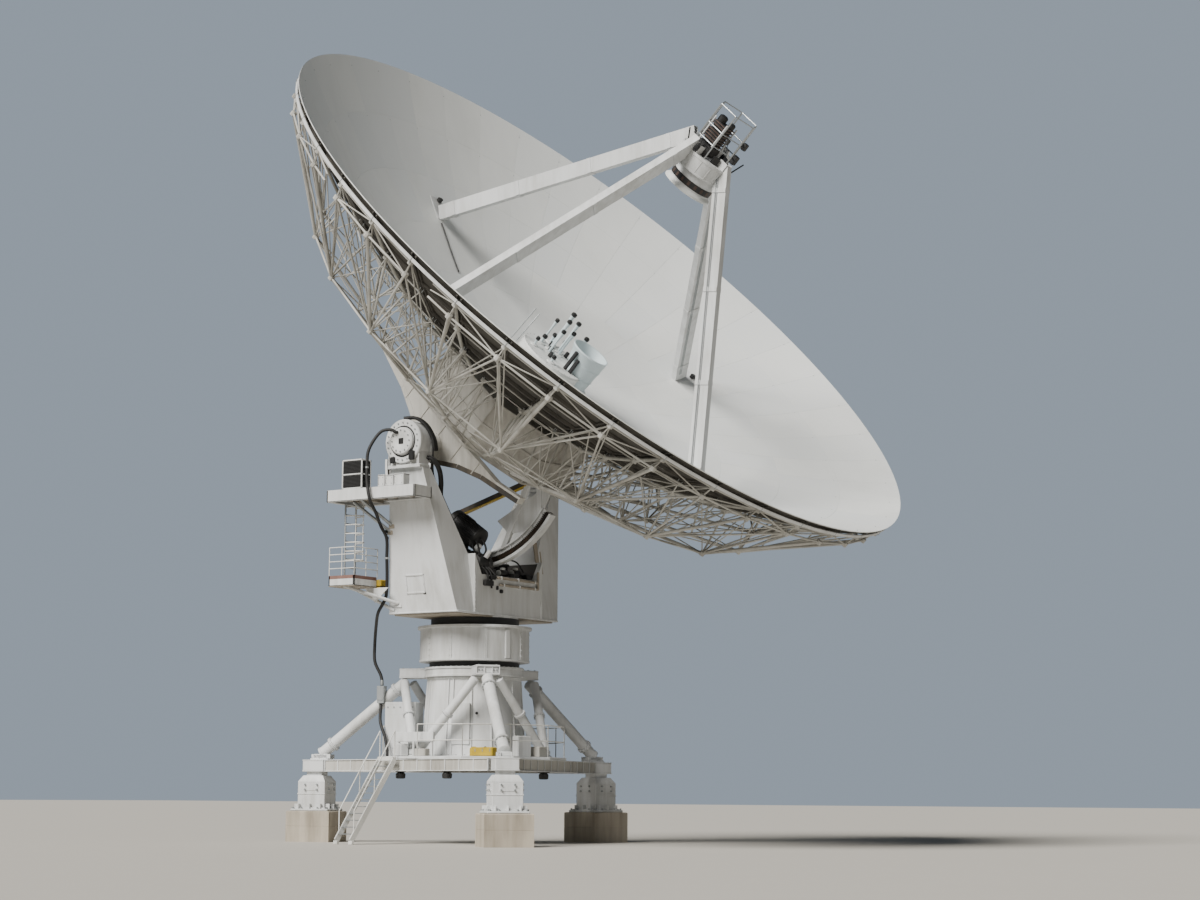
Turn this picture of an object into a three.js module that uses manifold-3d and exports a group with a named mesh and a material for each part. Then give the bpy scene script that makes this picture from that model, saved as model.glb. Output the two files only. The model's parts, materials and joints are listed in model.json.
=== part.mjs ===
// A 25 m radio telescope dish on its pedestal, in millimetres, with +Z up.
// The dish points along +X and up at rest. It turns on its pedestal and tilts between the yoke's arms.
import * as THREE from "three";
import { mergeVertices } from "three/addons/utils/BufferGeometryUtils.js";
import Module from "manifold-3d";

const wasm = await Module();
wasm.setup();

const DEGREE = Math.PI / 180;
const GAP = 0.3; // between pieces that touch
const REAR_SHIFT = -3907; // from the middle of the whole outline back to the azimuth axis

// Base: bearings in degrees, radii from the azimuth axis
const CORNERS = { front: -43, right: 77, left: 197 };
const CORNER_RADIUS = 5750;
const PIER_SIDE = 1600;
const PIER_HEIGHT = 1050;
const FOOT = { plate: 1380, plateTop: 1170, side: 1000, shoulder: 2050, top: 2270, neck: 560, block: 800 };
const BEAM_BOTTOM = 2400;
const BEAM_WIDTH = 380;
const DECK = { bottom: 2810, top: 2900, radius: 3200, sides: 12 };
const DRUM = { foot: 1750, head: 1560, top: 5600 };
const RING_TOP = 5930;
const LUG = { radius: 2450, reach: 150, halfWidth: 400 }; // where the struts meet the ring
const STRUT_RADIUS = 200;
const STRUT_HEAD_DROP = 0.3; // of a strut's radius, below the ring
const STRUT_HEEL_INSET = 150;
const SIDE_STRUT = { radius: 150, headSpread: 9, footSpread: 4, footRadius: 2500, footTop: 3150 };
const SHOE = { inner: 480, outer: 180, halfWidth: 240, height: 200 };
const HOUSING = { radius: 1870, bottom: 6120, top: 7330, neck: 1530, flange: 90 };
const PLATE = 45; // plate thickness of drums and boxes
const STAIR = { width: 800, offset: -600, out: 3260, run: 1750, treads: 12, stringer: [60, 220], tread: [220, 40] };
const DECK_CABINET = { bearing: 200, inner: 1950, outer: 3050, halfWidth: 450, top: 4780 };
const DECK_BOX = { x: [1300, 2300], y: [-2050, -1750], height: 330 };

// Yoke
const BUTT_GAP = 3; // between an arm and the pieces that butt against it
const YOKE_BOTTOM = 7650;
const TURNTABLE_RADIUS = 1500;
const SADDLE_TOP = 9000;
const SADDLE_HALF_WIDTH = 1570;
const YOKE_HALF_DEPTH = 1430;
const ARM_FOOT_OUTSIDE = 2900;
const ARM_HEAD = 12400;
const ARM_HEAD_OUTSIDE = 3950;
const ARM_HEAD_HALF_DEPTH = 700;
const ARM_LEAN = 0.572; // how far the inner face leans out for each unit of height
const ARM_SPLIT = 1955; // where the arms meet the saddle

// Elevation axis
const AXIS_HEIGHT = 13300;
const ELEVATION = 45; // where the dish points at rest, in degrees above the horizon
const BEARING = { radius: 750, inside: 3320, outside: 4150, cover: 465, coverDepth: 120, pillowHalf: 680 };
const TRUNNION_RADIUS = 330;
const TRUNNION_END = 3940;
const RUNNING_GAP = 25;

// Service platform, its cabinets and ladder, on the arm on the -Y side
const PLATFORM = { bottom: 11350, top: 11750, back: -2750, front: 1000, outer: -4750, beside: -3700, behind: -3100 };
const BRACE_RADIUS = 55;
const PLATFORM_BRACES = [[-2150, -4050, -1000, 10400], [-1500, -4450, -900, 10600]];
const LOUVRE_CABINET = { x: [-2150, -1280], y: [-4700, -4200], height: 1000 };
const CONTROL_CABINET = { x: [-600, 480], y: [-4700, -4350], height: 400 };
const LADDER = { x: -2450, y: [-4100, -3550], rail: 32, rung: 16, pitch: 300 };
const LANDING = { x: [-2800, -1700], y: [-4500, -3300], bottom: 8520, top: 8890, plate: 60 };
const LANDING_STRUTS = [[-2250, -4380, -1000, -2900, 8000], [-2600, -3420, -1200, -2700, 7780]];
const LANDING_BOX = { x: [-2100, -1520], y: [-3299, -2900], z: [8370, 8810] };

// Elevation drive in the notch
const GEARBOX = { x: [-620, 700], inner: 260, outer: 1050, height: 900, link: 90 };
const MOTOR = { radius: 400, y: -760, from: [-380, 11020], to: [760, 10230], neck: 210 };

// Cables, as points along their middle lines
const ARM_CABLE_RADIUS = 90;
const ARM_CABLE_SET_BACK = 220; // from the arm's front edge
const DROP_CABLE_RADIUS = 55;
const DROP_CABLE_UPPER = [
  [-150, -4271, 13600], [-150, -4350, 13600], [-320, -4450, 13680], [-630, -4600, 13580], [-880, -4850, 13000],
  [-900, -4900, 12400], [-880, -4900, 11850], [-760, -4890, 11300], [-870, -4450, 10950], [-1110, -3860, 10550],
  [-1090, -3560, 10150], [-1180, -3420, 9500], [-1290, -3250, 8850], [-1400, -3150, 8250], [-1530, -3170, 7980],
  [-1900, -2950, 7700], [-2700, -2050, 7350], [-3350, -1300, 6800], [-3390, -1230, 6200], [-3190, -1150, 5740],
  [-3120, -1150, 5500], [-3120, -1150, 5370],
];
const DROP_CABLE_LOWER = [
  [-3091, -1228, 4749], [-3091, -1228, 4640], [-2844, -1545, 4100], [-2589, -1602, 3600], [-2470, -1618, 3200],
  [-2454, -1622, 2916],
];
// The box on the left corner's strut where the two meet, along and beside the strut's bearing
const SOCKET_BOX = { x: [3190, 3440], y: [60, 340], z: [4750, 5345] };

// Dish: heights are over the vertex, along the dish's own axis
const DISH_RADIUS = 12500;
const FOCAL_LENGTH = 9000;
const AXIS_TO_VERTEX = 3400;
const SKIN = 30;
const PANEL_RADII = [1300, 3150, 5100, 7000, 8900, 10750, DISH_RADIUS]; // edges of the six rings of panels
const PANEL_COLUMNS = 40;
const STIFFENER = { width: 50, depth: 100, shares: [0.22, 0.78], firstRing: 2 }; // ring channels behind the panels
const RIBS = 20;
const CHORD_DROP = 250; // from the skin's face down to the middle of the bars under it
const BAR_RADIUS = 62;
const CHORD_RADIUS = 80;
const GUSSET = 120;
const RIM_DEPTH = 600;
const RIM_CHORD_RADIUS = 12150;
const KNEE = { radius: 9200, height: 350 };
const WAIST = { radius: 6100, height: -1000 };
const HEEL = { radius: 3000, height: -2250 };
const HUB = { apothem: 2800, bottom: -2400, top: -450 };
const BRACKET = { inner: 2380, outer: 2700, flatHalf: 1160, rootDepth: 260 };
// The lower edge of a bracket and its raised tip, as distances along and below the hub's foot
const BRACKET_EDGE = [[180, -480], [430, -380], [1400, 220], [2400, 620], [4100, 1040], [4100, 1280], [2950, 1000]];

// Legs and the apex over the dish
const LEG_FOOT_RADIUS = 7500;
const LEG_TOP = { radius: 930, height: 9900, shift: 150, reach: 300 }; // its middle stands a little up the dish
const LEG_WIDTH = 250;
const LEG_DEPTH = 520;
const LEG_WALL = 16;
const LEG_SEAT = 60; // from the skin's face up to the middle of a leg's foot
const FOOT_GAP = 6; // under a leg, where the skin rises to either side
const APEX = { inner: 920, radius: 960, bottom: 9250, top: 9790, lid: 60 };
const RACK = { radius: 430, top: 11250, shift: 200 }; // stands a little up the dish
const CAGE = { radius: 760, top: 11600, rail: 10850, posts: 6, post: 30, bar: 26 };
const CAN = { radius: 780, bottom: 8720, shift: 110 }; // with the subreflector, a little down the dish
const SUBREFLECTOR = { radius: 880, face: 8440, sag: 130, rimTop: 8640 };

// Feeds at the vertex
const FEED = { radius: 1240, bottom: HUB.top + GAP, top: 1150, bite: 600 };
const TURRET = { radius: 540, bottom: 120, top: 700 }; // carries the horn at the housing's side
const HORN = { place: [840, 740], lean: [-0.09, -0.105], foot: 440, radius: 700, top: 2030, wall: 60, depth: 350 };

// Elevation gear, in degrees from the dish's own pointing direction, over the top and backwards
const GEAR = { radius: 3970, depth: 500, width: 240, start: 133, end: 280, steps: 28, spoke: 105, web: 60 };
const GEAR_SPOKES = [[-2450, 136], [-1500, 160], [2430, 180.5], [2260, 245], [2750, 276]]; // place on the hub, degrees
const GEAR_WEB = [[2300, 1000], [2950, 1000], [3580, 300], [3560, -260], [3200, -1450], [2950, -1100]];

const white = new THREE.MeshStandardMaterial({ color: 0xdcdcd6, roughness: 0.55, metalness: 0.0 });
const panelWhite = new THREE.MeshStandardMaterial({ color: 0xd2d4d2, roughness: 0.5, metalness: 0.0 });
const concrete = new THREE.MeshStandardMaterial({ color: 0xa39d92, roughness: 0.95, metalness: 0.0 });
const darkSteel = new THREE.MeshStandardMaterial({ color: 0x2a2b2c, roughness: 0.6, metalness: 0.3 });
const galvanised = new THREE.MeshStandardMaterial({ color: 0x9a9c9a, roughness: 0.5, metalness: 0.6 });
const ochre = new THREE.MeshStandardMaterial({ color: 0xb8962f, roughness: 0.6, metalness: 0.0 });
const rubber = new THREE.MeshStandardMaterial({ color: 0x1b1b1b, roughness: 0.8, metalness: 0.0 });

// Geometry helpers

const vec = (x, y, z) => new THREE.Vector3(x, y, z);
const polar = (radius, degrees, z) => vec(radius * Math.cos(degrees * DEGREE), radius * Math.sin(degrees * DEGREE), z);
const overVertex = (height) => AXIS_TO_VERTEX + height;

// A point of the dish: the angle runs from the rim's top towards +Y.
const onDish = (radius, degrees, height) =>
  vec(-radius * Math.cos(degrees * DEGREE), radius * Math.sin(degrees * DEGREE), overVertex(height));

const reflectorHeight = (radius) => (radius * radius) / (4 * FOCAL_LENGTH);

function solidOf(geometry) {
  const bare = geometry.index ? geometry.toNonIndexed() : geometry.clone();
  bare.deleteAttribute("normal");
  bare.deleteAttribute("uv");
  const merged = mergeVertices(bare, 1e-3);
  return new wasm.Manifold(
    new wasm.Mesh({
      numProp: 3,
      vertProperties: merged.attributes.position.array,
      triVerts: new Uint32Array(merged.index.array),
    }),
  );
}

function geometryOf(solid) {
  const made = solid.getMesh();
  const geometry = new THREE.BufferGeometry();
  geometry.setAttribute("position", new THREE.BufferAttribute(new Float32Array(made.vertProperties), 3));
  geometry.setIndex(new THREE.BufferAttribute(new Uint32Array(made.triVerts), 1));
  const flat = geometry.toNonIndexed();
  flat.computeVertexNormals();
  return flat;
}

function fuse(pieces) {
  return geometryOf(pieces.map(solidOf).reduce((whole, piece) => whole.add(piece)));
}

function carve(geometry, cutters) {
  return geometryOf(cutters.map(solidOf).reduce((whole, cutter) => whole.subtract(cutter), solidOf(geometry)));
}

function block(x0, x1, y0, y1, z0, z1) {
  const geometry = new THREE.BoxGeometry(x1 - x0, y1 - y0, z1 - z0);
  geometry.translate((x0 + x1) / 2, (y0 + y1) / 2, (z0 + z1) / 2);
  return geometry;
}

// Puts a shape drawn around +Y, such as a cylinder, between two points.
function between(geometry, a, b) {
  const along = b.clone().sub(a).normalize();
  geometry.applyQuaternion(new THREE.Quaternion().setFromUnitVectors(vec(0, 1, 0), along));
  const middle = a.clone().add(b).multiplyScalar(0.5);
  geometry.translate(middle.x, middle.y, middle.z);
  return geometry;
}

function bar(a, b, radius, sides = 3) {
  return between(new THREE.CylinderGeometry(radius, radius, a.distanceTo(b), sides), a, b);
}

// A straight beam of rectangular section, with its depth in the plane of the given upward direction.
function beam(a, b, width, depth, up) {
  const along = b.clone().sub(a).normalize();
  const side = along.clone().cross(up).normalize();
  const over = side.clone().cross(along);
  const geometry = new THREE.BoxGeometry(width, a.distanceTo(b), depth);
  const middle = a.clone().add(b).multiplyScalar(0.5);
  geometry.applyMatrix4(new THREE.Matrix4().makeBasis(side, along, over).setPosition(middle));
  return geometry;
}

// A body of revolution around Z from [radius, height] pairs, counted anticlockwise.
function turned(profile, segments) {
  const geometry = new THREE.LatheGeometry(
    profile.map(([radius, height]) => new THREE.Vector2(radius, height)),
    segments,
  );
  geometry.rotateX(Math.PI / 2);
  return geometry;
}

// A solid cylinder or cone around Z.
function post(radius, z0, z1, segments, headRadius = radius) {
  return turned([[0, z0], [radius, z0], [headRadius, z1], [0, z1]], segments);
}

// A pipe wall around Z, open at both ends.
function sleeve(inner, outer, z0, z1, segments) {
  return turned([[inner, z0], [outer, z0], [outer, z1], [inner, z1], [inner, z0]], segments);
}

const shapeOf = (outline) => new THREE.Shape(outline.map(([u, v]) => new THREE.Vector2(u, v)));

// An outline of [x, y] pairs, drawn out along Z.
function extrudedAlongZ(outline, z0, z1) {
  const geometry = new THREE.ExtrudeGeometry(shapeOf(outline), { depth: z1 - z0, bevelEnabled: false });
  geometry.translate(0, 0, z0);
  return geometry;
}

// An outline of [y, z] pairs, drawn out along X.
function extrudedAlongX(outline, x0, x1) {
  const geometry = new THREE.ExtrudeGeometry(shapeOf(outline), { depth: x1 - x0, bevelEnabled: false });
  geometry.applyMatrix4(new THREE.Matrix4().makeBasis(vec(0, 1, 0), vec(0, 0, 1), vec(1, 0, 0)));
  geometry.translate(x0, 0, 0);
  return geometry;
}

// An outline of [x, z] pairs, drawn out along Y.
function extrudedAlongY(outline, y0, y1) {
  const geometry = new THREE.ExtrudeGeometry(shapeOf(outline), { depth: y1 - y0, bevelEnabled: false });
  geometry.applyMatrix4(new THREE.Matrix4().makeBasis(vec(1, 0, 0), vec(0, 0, 1), vec(0, -1, 0)));
  geometry.translate(0, y1, 0);
  return geometry;
}

// A round cable through the given points.
function cable(points, radius, steps) {
  const sides = 8;
  const section = [];
  for (let i = 0; i < sides; i++) {
    const turn = (2 * Math.PI * i) / sides;
    section.push([radius * Math.cos(turn), radius * Math.sin(turn)]);
  }
  const path = new THREE.CatmullRomCurve3(points.map(([x, y, z]) => vec(x, y, z)), false, "centripetal");
  return new THREE.ExtrudeGeometry(shapeOf(section), { steps, extrudePath: path, bevelEnabled: false });
}

// Turns a piece that is drawn on the +X side to a bearing around the azimuth axis.
function atBearing(geometry, bearing) {
  geometry.rotateZ(bearing * DEGREE);
  return geometry;
}

function named(name, geometry, material) {
  const mesh = new THREE.Mesh(geometry, material);
  mesh.name = name;
  return mesh;
}

// Base

// A square block on a corner, its sides square to the corner's bearing.
function cornerBlock(side, z0, z1) {
  return block(CORNER_RADIUS - side / 2, CORNER_RADIUS + side / 2, -side / 2, side / 2, z0, z1);
}

function pier(bearing) {
  return atBearing(cornerBlock(PIER_SIDE, 0, PIER_HEIGHT), bearing);
}

// The steel foot on a pier: anchor plate, foot box with a chamfered top, neck, and the block that the beams meet.
function foot(bearing) {
  const seat = PIER_HEIGHT + GAP;
  const chamfer = post(FOOT.side / Math.SQRT2, FOOT.shoulder - 1, FOOT.top, 4, FOOT.neck * 0.9);
  chamfer.rotateZ(Math.PI / 4);
  chamfer.translate(CORNER_RADIUS, 0, 0);
  const geometry = fuse([
    cornerBlock(FOOT.plate, seat, FOOT.plateTop),
    cornerBlock(FOOT.side, seat, FOOT.shoulder),
    chamfer,
    cornerBlock(FOOT.neck, FOOT.top - PLATE, BEAM_BOTTOM + PLATE),
    cornerBlock(FOOT.block, BEAM_BOTTOM, DECK.bottom - GAP),
  ]);
  return atBearing(geometry, bearing);
}

// A beam of the triangular frame between two corner blocks.
function frameBeam(bearing, next) {
  const level = (BEAM_BOTTOM + DECK.bottom) / 2;
  const a = polar(CORNER_RADIUS, bearing, level);
  const b = polar(CORNER_RADIUS, next, level);
  const along = b.clone().sub(a).normalize();
  const clear = (FOOT.block / 2) * (Math.cos(30 * DEGREE) + Math.sin(30 * DEGREE)) + 2 * PLATE;
  const depth = DECK.bottom - BEAM_BOTTOM - 2 * GAP;
  return beam(a.addScaledVector(along, clear), b.addScaledVector(along, -clear), BEAM_WIDTH, depth, vec(0, 0, 1));
}

function deck() {
  return post(DECK.radius, DECK.bottom, DECK.top - GAP, DECK.sides);
}

function drum() {
  return post(DRUM.foot, DECK.top, DRUM.top, 36, DRUM.head);
}

// The ring on the drum, with a lug at each corner's bearing for the struts.
function ring() {
  const z0 = DRUM.top + GAP;
  const outer = DRUM.head + LUG.reach;
  const lugs = Object.values(CORNERS).map((bearing) =>
    atBearing(block(outer - LUG.reach, LUG.radius + LUG.reach, -LUG.halfWidth, LUG.halfWidth, z0, RING_TOP), bearing),
  );
  return fuse([sleeve(DRUM.head - 2 * LUG.reach, outer, z0, RING_TOP, 36), ...lugs]);
}

// The thick tube from a lug of the ring down to its corner, with a shoe at its foot.
function cornerStrut(bearing) {
  const shoe = block(
    CORNER_RADIUS - SHOE.inner, CORNER_RADIUS + SHOE.outer, -SHOE.halfWidth, SHOE.halfWidth,
    DECK.bottom, DECK.bottom + SHOE.height,
  );
  const body = fuse([cornerTube(STRUT_RADIUS), shoe]);
  return atBearing(carve(body, [ceiling(), floor(), drumClearance()]), bearing);
}

function cornerTube(radius) {
  const head = vec(LUG.radius, 0, DRUM.top - STRUT_RADIUS * STRUT_HEAD_DROP);
  const heel = vec(CORNER_RADIUS - STRUT_HEEL_INSET, 0, DECK.bottom + SHOE.height);
  return bar(head, heel, radius, 10);
}

// The socket box that the drop cable plugs into, saddled on the left corner's tube.
function socketBox() {
  const { x, y, z } = SOCKET_BOX;
  return atBearing(carve(block(...x, ...y, ...z), [cornerTube(STRUT_RADIUS + GAP)]), CORNERS.left);
}

// The pair of tubes from two lugs down to one shoe at the middle of the side between them.
function sideStruts(bearing, next) {
  const middle = (bearing + next) / 2;
  const half = SIDE_STRUT.radius + PLATE;
  const shoe = block(
    SIDE_STRUT.footRadius - half, SIDE_STRUT.footRadius + half, -2 * half, 2 * half,
    DECK.top + GAP, SIDE_STRUT.footTop,
  );
  const legs = [[bearing, 1], [next, -1]].map(([lug, side]) => {
    const head = polar(LUG.radius, lug + side * SIDE_STRUT.headSpread, DRUM.top - SIDE_STRUT.radius * STRUT_HEAD_DROP);
    const heel = polar(SIDE_STRUT.footRadius, middle - side * SIDE_STRUT.footSpread, SIDE_STRUT.footTop);
    return bar(head, heel, SIDE_STRUT.radius, 8);
  });
  const body = fuse([atBearing(shoe, middle), ...legs]);
  return carve(body, [ceiling(), drumClearance()]);
}

// What the struts keep clear of: the ring and all over it, the corner blocks, and the drum with a little round it.
function ceiling() {
  return post(2 * CORNER_RADIUS, DRUM.top, DRUM.top + LUG.radius, 8);
}

function floor() {
  return post(2 * CORNER_RADIUS, 0, DECK.bottom, 8);
}

function drumClearance() {
  const air = 4;
  return post(DRUM.foot + air, DECK.top, DRUM.top, 36, DRUM.head + air);
}

// The stair from the deck to the ground, on the side that faces -Y.
function stair() {
  const outward = polar(1, CORNERS.left + 60, 0);
  const across = vec(-outward.y, outward.x, 0);
  const up = vec(0, 0, 1);
  const place = (out, along, z) => {
    const point = outward.clone().multiplyScalar(STAIR.out + out);
    return point.addScaledVector(across, STAIR.offset + along).setZ(z);
  };
  const [stringerWidth, stringerDepth] = STAIR.stringer;
  const [treadDepth, treadThickness] = STAIR.tread;
  const head = DECK.top - stringerDepth / 2;
  const foot = stringerDepth / 2;
  const pieces = [];
  for (const along of [-STAIR.width / 2, STAIR.width / 2]) {
    pieces.push(beam(place(0, along, head), place(STAIR.run, along, foot), stringerWidth, stringerDepth, up));
    pieces.push(beam(place(STAIR.run, along, foot), place(STAIR.run, along, 0), stringerDepth, 2 * stringerWidth, outward));
  }
  for (let i = 1; i < STAIR.treads; i++) {
    const share = i / STAIR.treads;
    const level = head + (foot - head) * share;
    const out = STAIR.run * share;
    pieces.push(
      beam(place(out, -STAIR.width / 2, level), place(out, STAIR.width / 2, level), treadDepth, treadThickness, up),
    );
  }
  return fuse(pieces);
}

// The round azimuth housing on a narrower neck, with a flange at its top.
function azimuthHousing() {
  const inner = HOUSING.neck - 6 * PLATE;
  const z0 = RING_TOP + GAP;
  const flange = HOUSING.top - HOUSING.flange;
  const profile = [
    [inner, z0], [HOUSING.neck, z0], [HOUSING.neck, HOUSING.bottom], [HOUSING.radius, HOUSING.bottom],
    [HOUSING.radius, flange], [HOUSING.radius + HOUSING.flange, flange],
    [HOUSING.radius + HOUSING.flange, HOUSING.top], [inner, HOUSING.top], [inner, z0],
  ];
  return turned(profile, 36);
}

// The white equipment cabinet on the deck, beside the drum.
function deckCabinet() {
  const { bearing, inner, outer, halfWidth, top } = DECK_CABINET;
  return atBearing(block(inner, outer, -halfWidth, halfWidth, DECK.top + GAP, top), bearing);
}

// The long yellow box near the deck's front edge.
function deckBox() {
  const [x0, x1] = DECK_BOX.x;
  const [y0, y1] = DECK_BOX.y;
  return block(x0, x1, y0, y1, DECK.top + GAP, DECK.top + DECK_BOX.height);
}

// Yoke

const armInside = (z) => SADDLE_HALF_WIDTH + (z - SADDLE_TOP) * ARM_LEAN;
const armHalfDepth = (z) =>
  YOKE_HALF_DEPTH + ((ARM_HEAD_HALF_DEPTH - YOKE_HALF_DEPTH) * (z - YOKE_BOTTOM)) / (ARM_HEAD - YOKE_BOTTOM);
const SHOULDER = SADDLE_TOP + (ARM_SPLIT - SADDLE_HALF_WIDTH) / ARM_LEAN;

// The saddle: a closed box with the V of the notch cut in its top, on a round turntable.
function saddle() {
  const outline = [
    [-ARM_SPLIT, YOKE_BOTTOM], [ARM_SPLIT, YOKE_BOTTOM], [ARM_SPLIT, SHOULDER], [SADDLE_HALF_WIDTH, SADDLE_TOP],
    [-SADDLE_HALF_WIDTH, SADDLE_TOP], [-ARM_SPLIT, SHOULDER],
  ];
  const body = extrudedAlongX(outline, -YOKE_HALF_DEPTH, YOKE_HALF_DEPTH);
  return fuse([body, post(TURNTABLE_RADIUS, HOUSING.top + RUNNING_GAP, YOKE_BOTTOM + PLATE, 36)]);
}

// An arm of the yoke: it leans out to the side and grows thinner towards the bearing.
function arm(side) {
  const foot = ARM_SPLIT + GAP;
  const outline = [
    [foot, YOKE_BOTTOM], [ARM_FOOT_OUTSIDE, YOKE_BOTTOM], [ARM_HEAD_OUTSIDE, ARM_HEAD],
    [armInside(ARM_HEAD), ARM_HEAD], [foot, SHOULDER],
  ];
  const mirrored = outline.map(([y, z]) => [-y, z]).reverse();
  return tapered(extrudedAlongX(side > 0 ? outline : mirrored, -YOKE_HALF_DEPTH, YOKE_HALF_DEPTH), 0);
}

// Moves the points of an arm in along X, so that it tapers from the yoke's bottom to the arm's head.
function tapered(geometry, air) {
  const points = geometry.attributes.position;
  for (let i = 0; i < points.count; i++) {
    points.setX(i, Math.sign(points.getX(i)) * (armHalfDepth(points.getZ(i)) + air));
  }
  return geometry;
}

// A little more than the arm on the -Y side, for the pieces that butt against it.
function armClearance() {
  const head = ARM_HEAD + BUTT_GAP;
  const outline = [
    [-SADDLE_HALF_WIDTH, head], [-ARM_HEAD_OUTSIDE - BUTT_GAP, head], [-ARM_HEAD_OUTSIDE - BUTT_GAP, ARM_HEAD],
    [-ARM_FOOT_OUTSIDE - BUTT_GAP, YOKE_BOTTOM], [-SADDLE_HALF_WIDTH, YOKE_BOTTOM],
  ];
  return tapered(extrudedAlongX(outline, -YOKE_HALF_DEPTH, YOKE_HALF_DEPTH), BUTT_GAP);
}

// The elevation bearing on an arm: a round housing with a cover, on a pillow block, bored from the inside.
function bearing(side) {
  const round = (radius, y0, y1) => bar(vec(0, y0, AXIS_HEIGHT), vec(0, y1, AXIS_HEIGHT), radius, 28);
  const half = BEARING.pillowHalf;
  const body = fuse([
    round(BEARING.radius, BEARING.inside, BEARING.outside),
    round(BEARING.cover, BEARING.outside - PLATE, BEARING.outside + BEARING.coverDepth),
    block(-half, half, armInside(ARM_HEAD), BEARING.outside - PLATE, ARM_HEAD + GAP, AXIS_HEIGHT),
  ]);
  const geometry = carve(body, [round(TRUNNION_RADIUS + RUNNING_GAP, 0, TRUNNION_END + RUNNING_GAP)]);
  if (side < 0) geometry.rotateZ(Math.PI);
  return geometry;
}

// The service platform around the arm's outer back corner, with its braces.
function servicePlatform() {
  const { bottom, top, back, front, outer, beside, behind } = PLATFORM;
  const corner = -ARM_HEAD_HALF_DEPTH;
  const outline = [[back, outer], [front, outer], [front, beside], [corner, beside], [corner, behind], [back, behind]];
  const braces = PLATFORM_BRACES.map(([x, y, footX, footZ]) =>
    bar(vec(x, y, bottom + PLATE), vec(footX, -BEARING.inside, footZ), BRACE_RADIUS, 6),
  );
  return carve(fuse([extrudedAlongZ(outline, bottom, top), ...braces]), [armClearance()]);
}

function onPlatform({ x, y, height }) {
  return block(x[0], x[1], y[0], y[1], PLATFORM.top + GAP, PLATFORM.top + height);
}

// The ladder that hangs under the platform, with the landing at its foot and the landing's strut to the arm.
function ladder() {
  const { x, y, rail, rung, pitch } = LADDER;
  const pieces = y.map((at) => bar(vec(x, at, PLATFORM.bottom - GAP), vec(x, at, LANDING.bottom + PLATE), rail, 6));
  for (let z = LANDING.top + pitch; z < PLATFORM.bottom; z += pitch) {
    pieces.push(bar(vec(x, y[0], z), vec(x, y[1], z), rung, 4));
  }
  const [x0, x1] = LANDING.x;
  const [y0, y1] = LANDING.y;
  const { bottom, top, plate } = LANDING;
  pieces.push(block(x0, x1, y0, y1, bottom, bottom + plate));
  pieces.push(block(x0, x1, y0, y0 + plate, bottom, top));
  pieces.push(block(x0, x0 + plate, y0, y1, bottom, top));
  pieces.push(block(x1 - plate, x1, y0, y1, bottom, top));
  for (const [headX, headY, footX, footY, footZ] of LANDING_STRUTS) {
    pieces.push(bar(vec(headX, headY, bottom + plate / 2), vec(footX, footY, footZ), plate, 6));
  }
  return carve(fuse(pieces), [armClearance()]);
}

// The ochre junction box between the landing and the arm.
function landingBox() {
  const { x, y, z } = LANDING_BOX;
  return block(x[0], x[1], y[0], y[1], z[0], z[1]);
}

// The gearbox in the notch: a casing on each side of the gear, with the gland that the arm's cable enters.
function elevationDrive() {
  const { x, inner, outer, height, link } = GEARBOX;
  const floorTop = SADDLE_TOP + GAP;
  const gland = armCableEnd();
  const half = ARM_CABLE_RADIUS + PLATE;
  return fuse([
    block(x[0], x[1], -outer, -inner, floorTop, SADDLE_TOP + height),
    block(x[0], x[1], inner, outer, floorTop, SADDLE_TOP + height),
    block(x[0], x[0] + 2 * link, -inner - 1, inner + 1, floorTop, floorTop + link),
    block(x[1] - 1, gland.x + half, gland.y - half, -outer + 2 * half, floorTop, gland.z - GAP),
    block(gland.x - half, gland.x + half, gland.y - half, gland.y + half, floorTop, gland.z - GAP),
  ]);
}

// The dark motor over the gearbox, on its own neck.
function elevationMotor() {
  const [x0, z0] = MOTOR.from;
  const [x1, z1] = MOTOR.to;
  const foot = vec(0, MOTOR.y, SADDLE_TOP + GEARBOX.height + GAP);
  const middle = vec((x0 + x1) / 2, MOTOR.y, (z0 + z1) / 2);
  const neck = bar(foot, vec(foot.x, MOTOR.y, middle.z), MOTOR.neck, 12);
  return fuse([bar(vec(x0, MOTOR.y, z0), vec(x1, MOTOR.y, z1), MOTOR.radius, 20), neck]);
}

// The end of the arm's cable, over its gland in the notch.
const armCableEnd = () => vec(900, -1330, SADDLE_TOP + 220);

// The thick cable from the bearing down the inner face of the arm on the -Y side.
function armCable() {
  const startX = BEARING.pillowHalf + GAP;
  const points = [
    [startX, -3640, 12750], [startX + 110, -3640, 12750], [900, -3540, 12630], [930, -3330, 12350],
    [800, -3070, 12000],
  ];
  const offFace = ARM_CABLE_RADIUS / Math.cos(Math.atan(ARM_LEAN)) + 35;
  for (const z of [11450, 11000, 10400, 9850]) {
    points.push([armHalfDepth(z) - ARM_CABLE_SET_BACK, -armInside(z) + offFace, z]);
  }
  const end = armCableEnd();
  points.push([end.x, end.y - 190, end.z + 330], [end.x, end.y, end.z + 110], [end.x, end.y, end.z]);
  return cable(points, ARM_CABLE_RADIUS, 36);
}

// Dish

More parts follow.
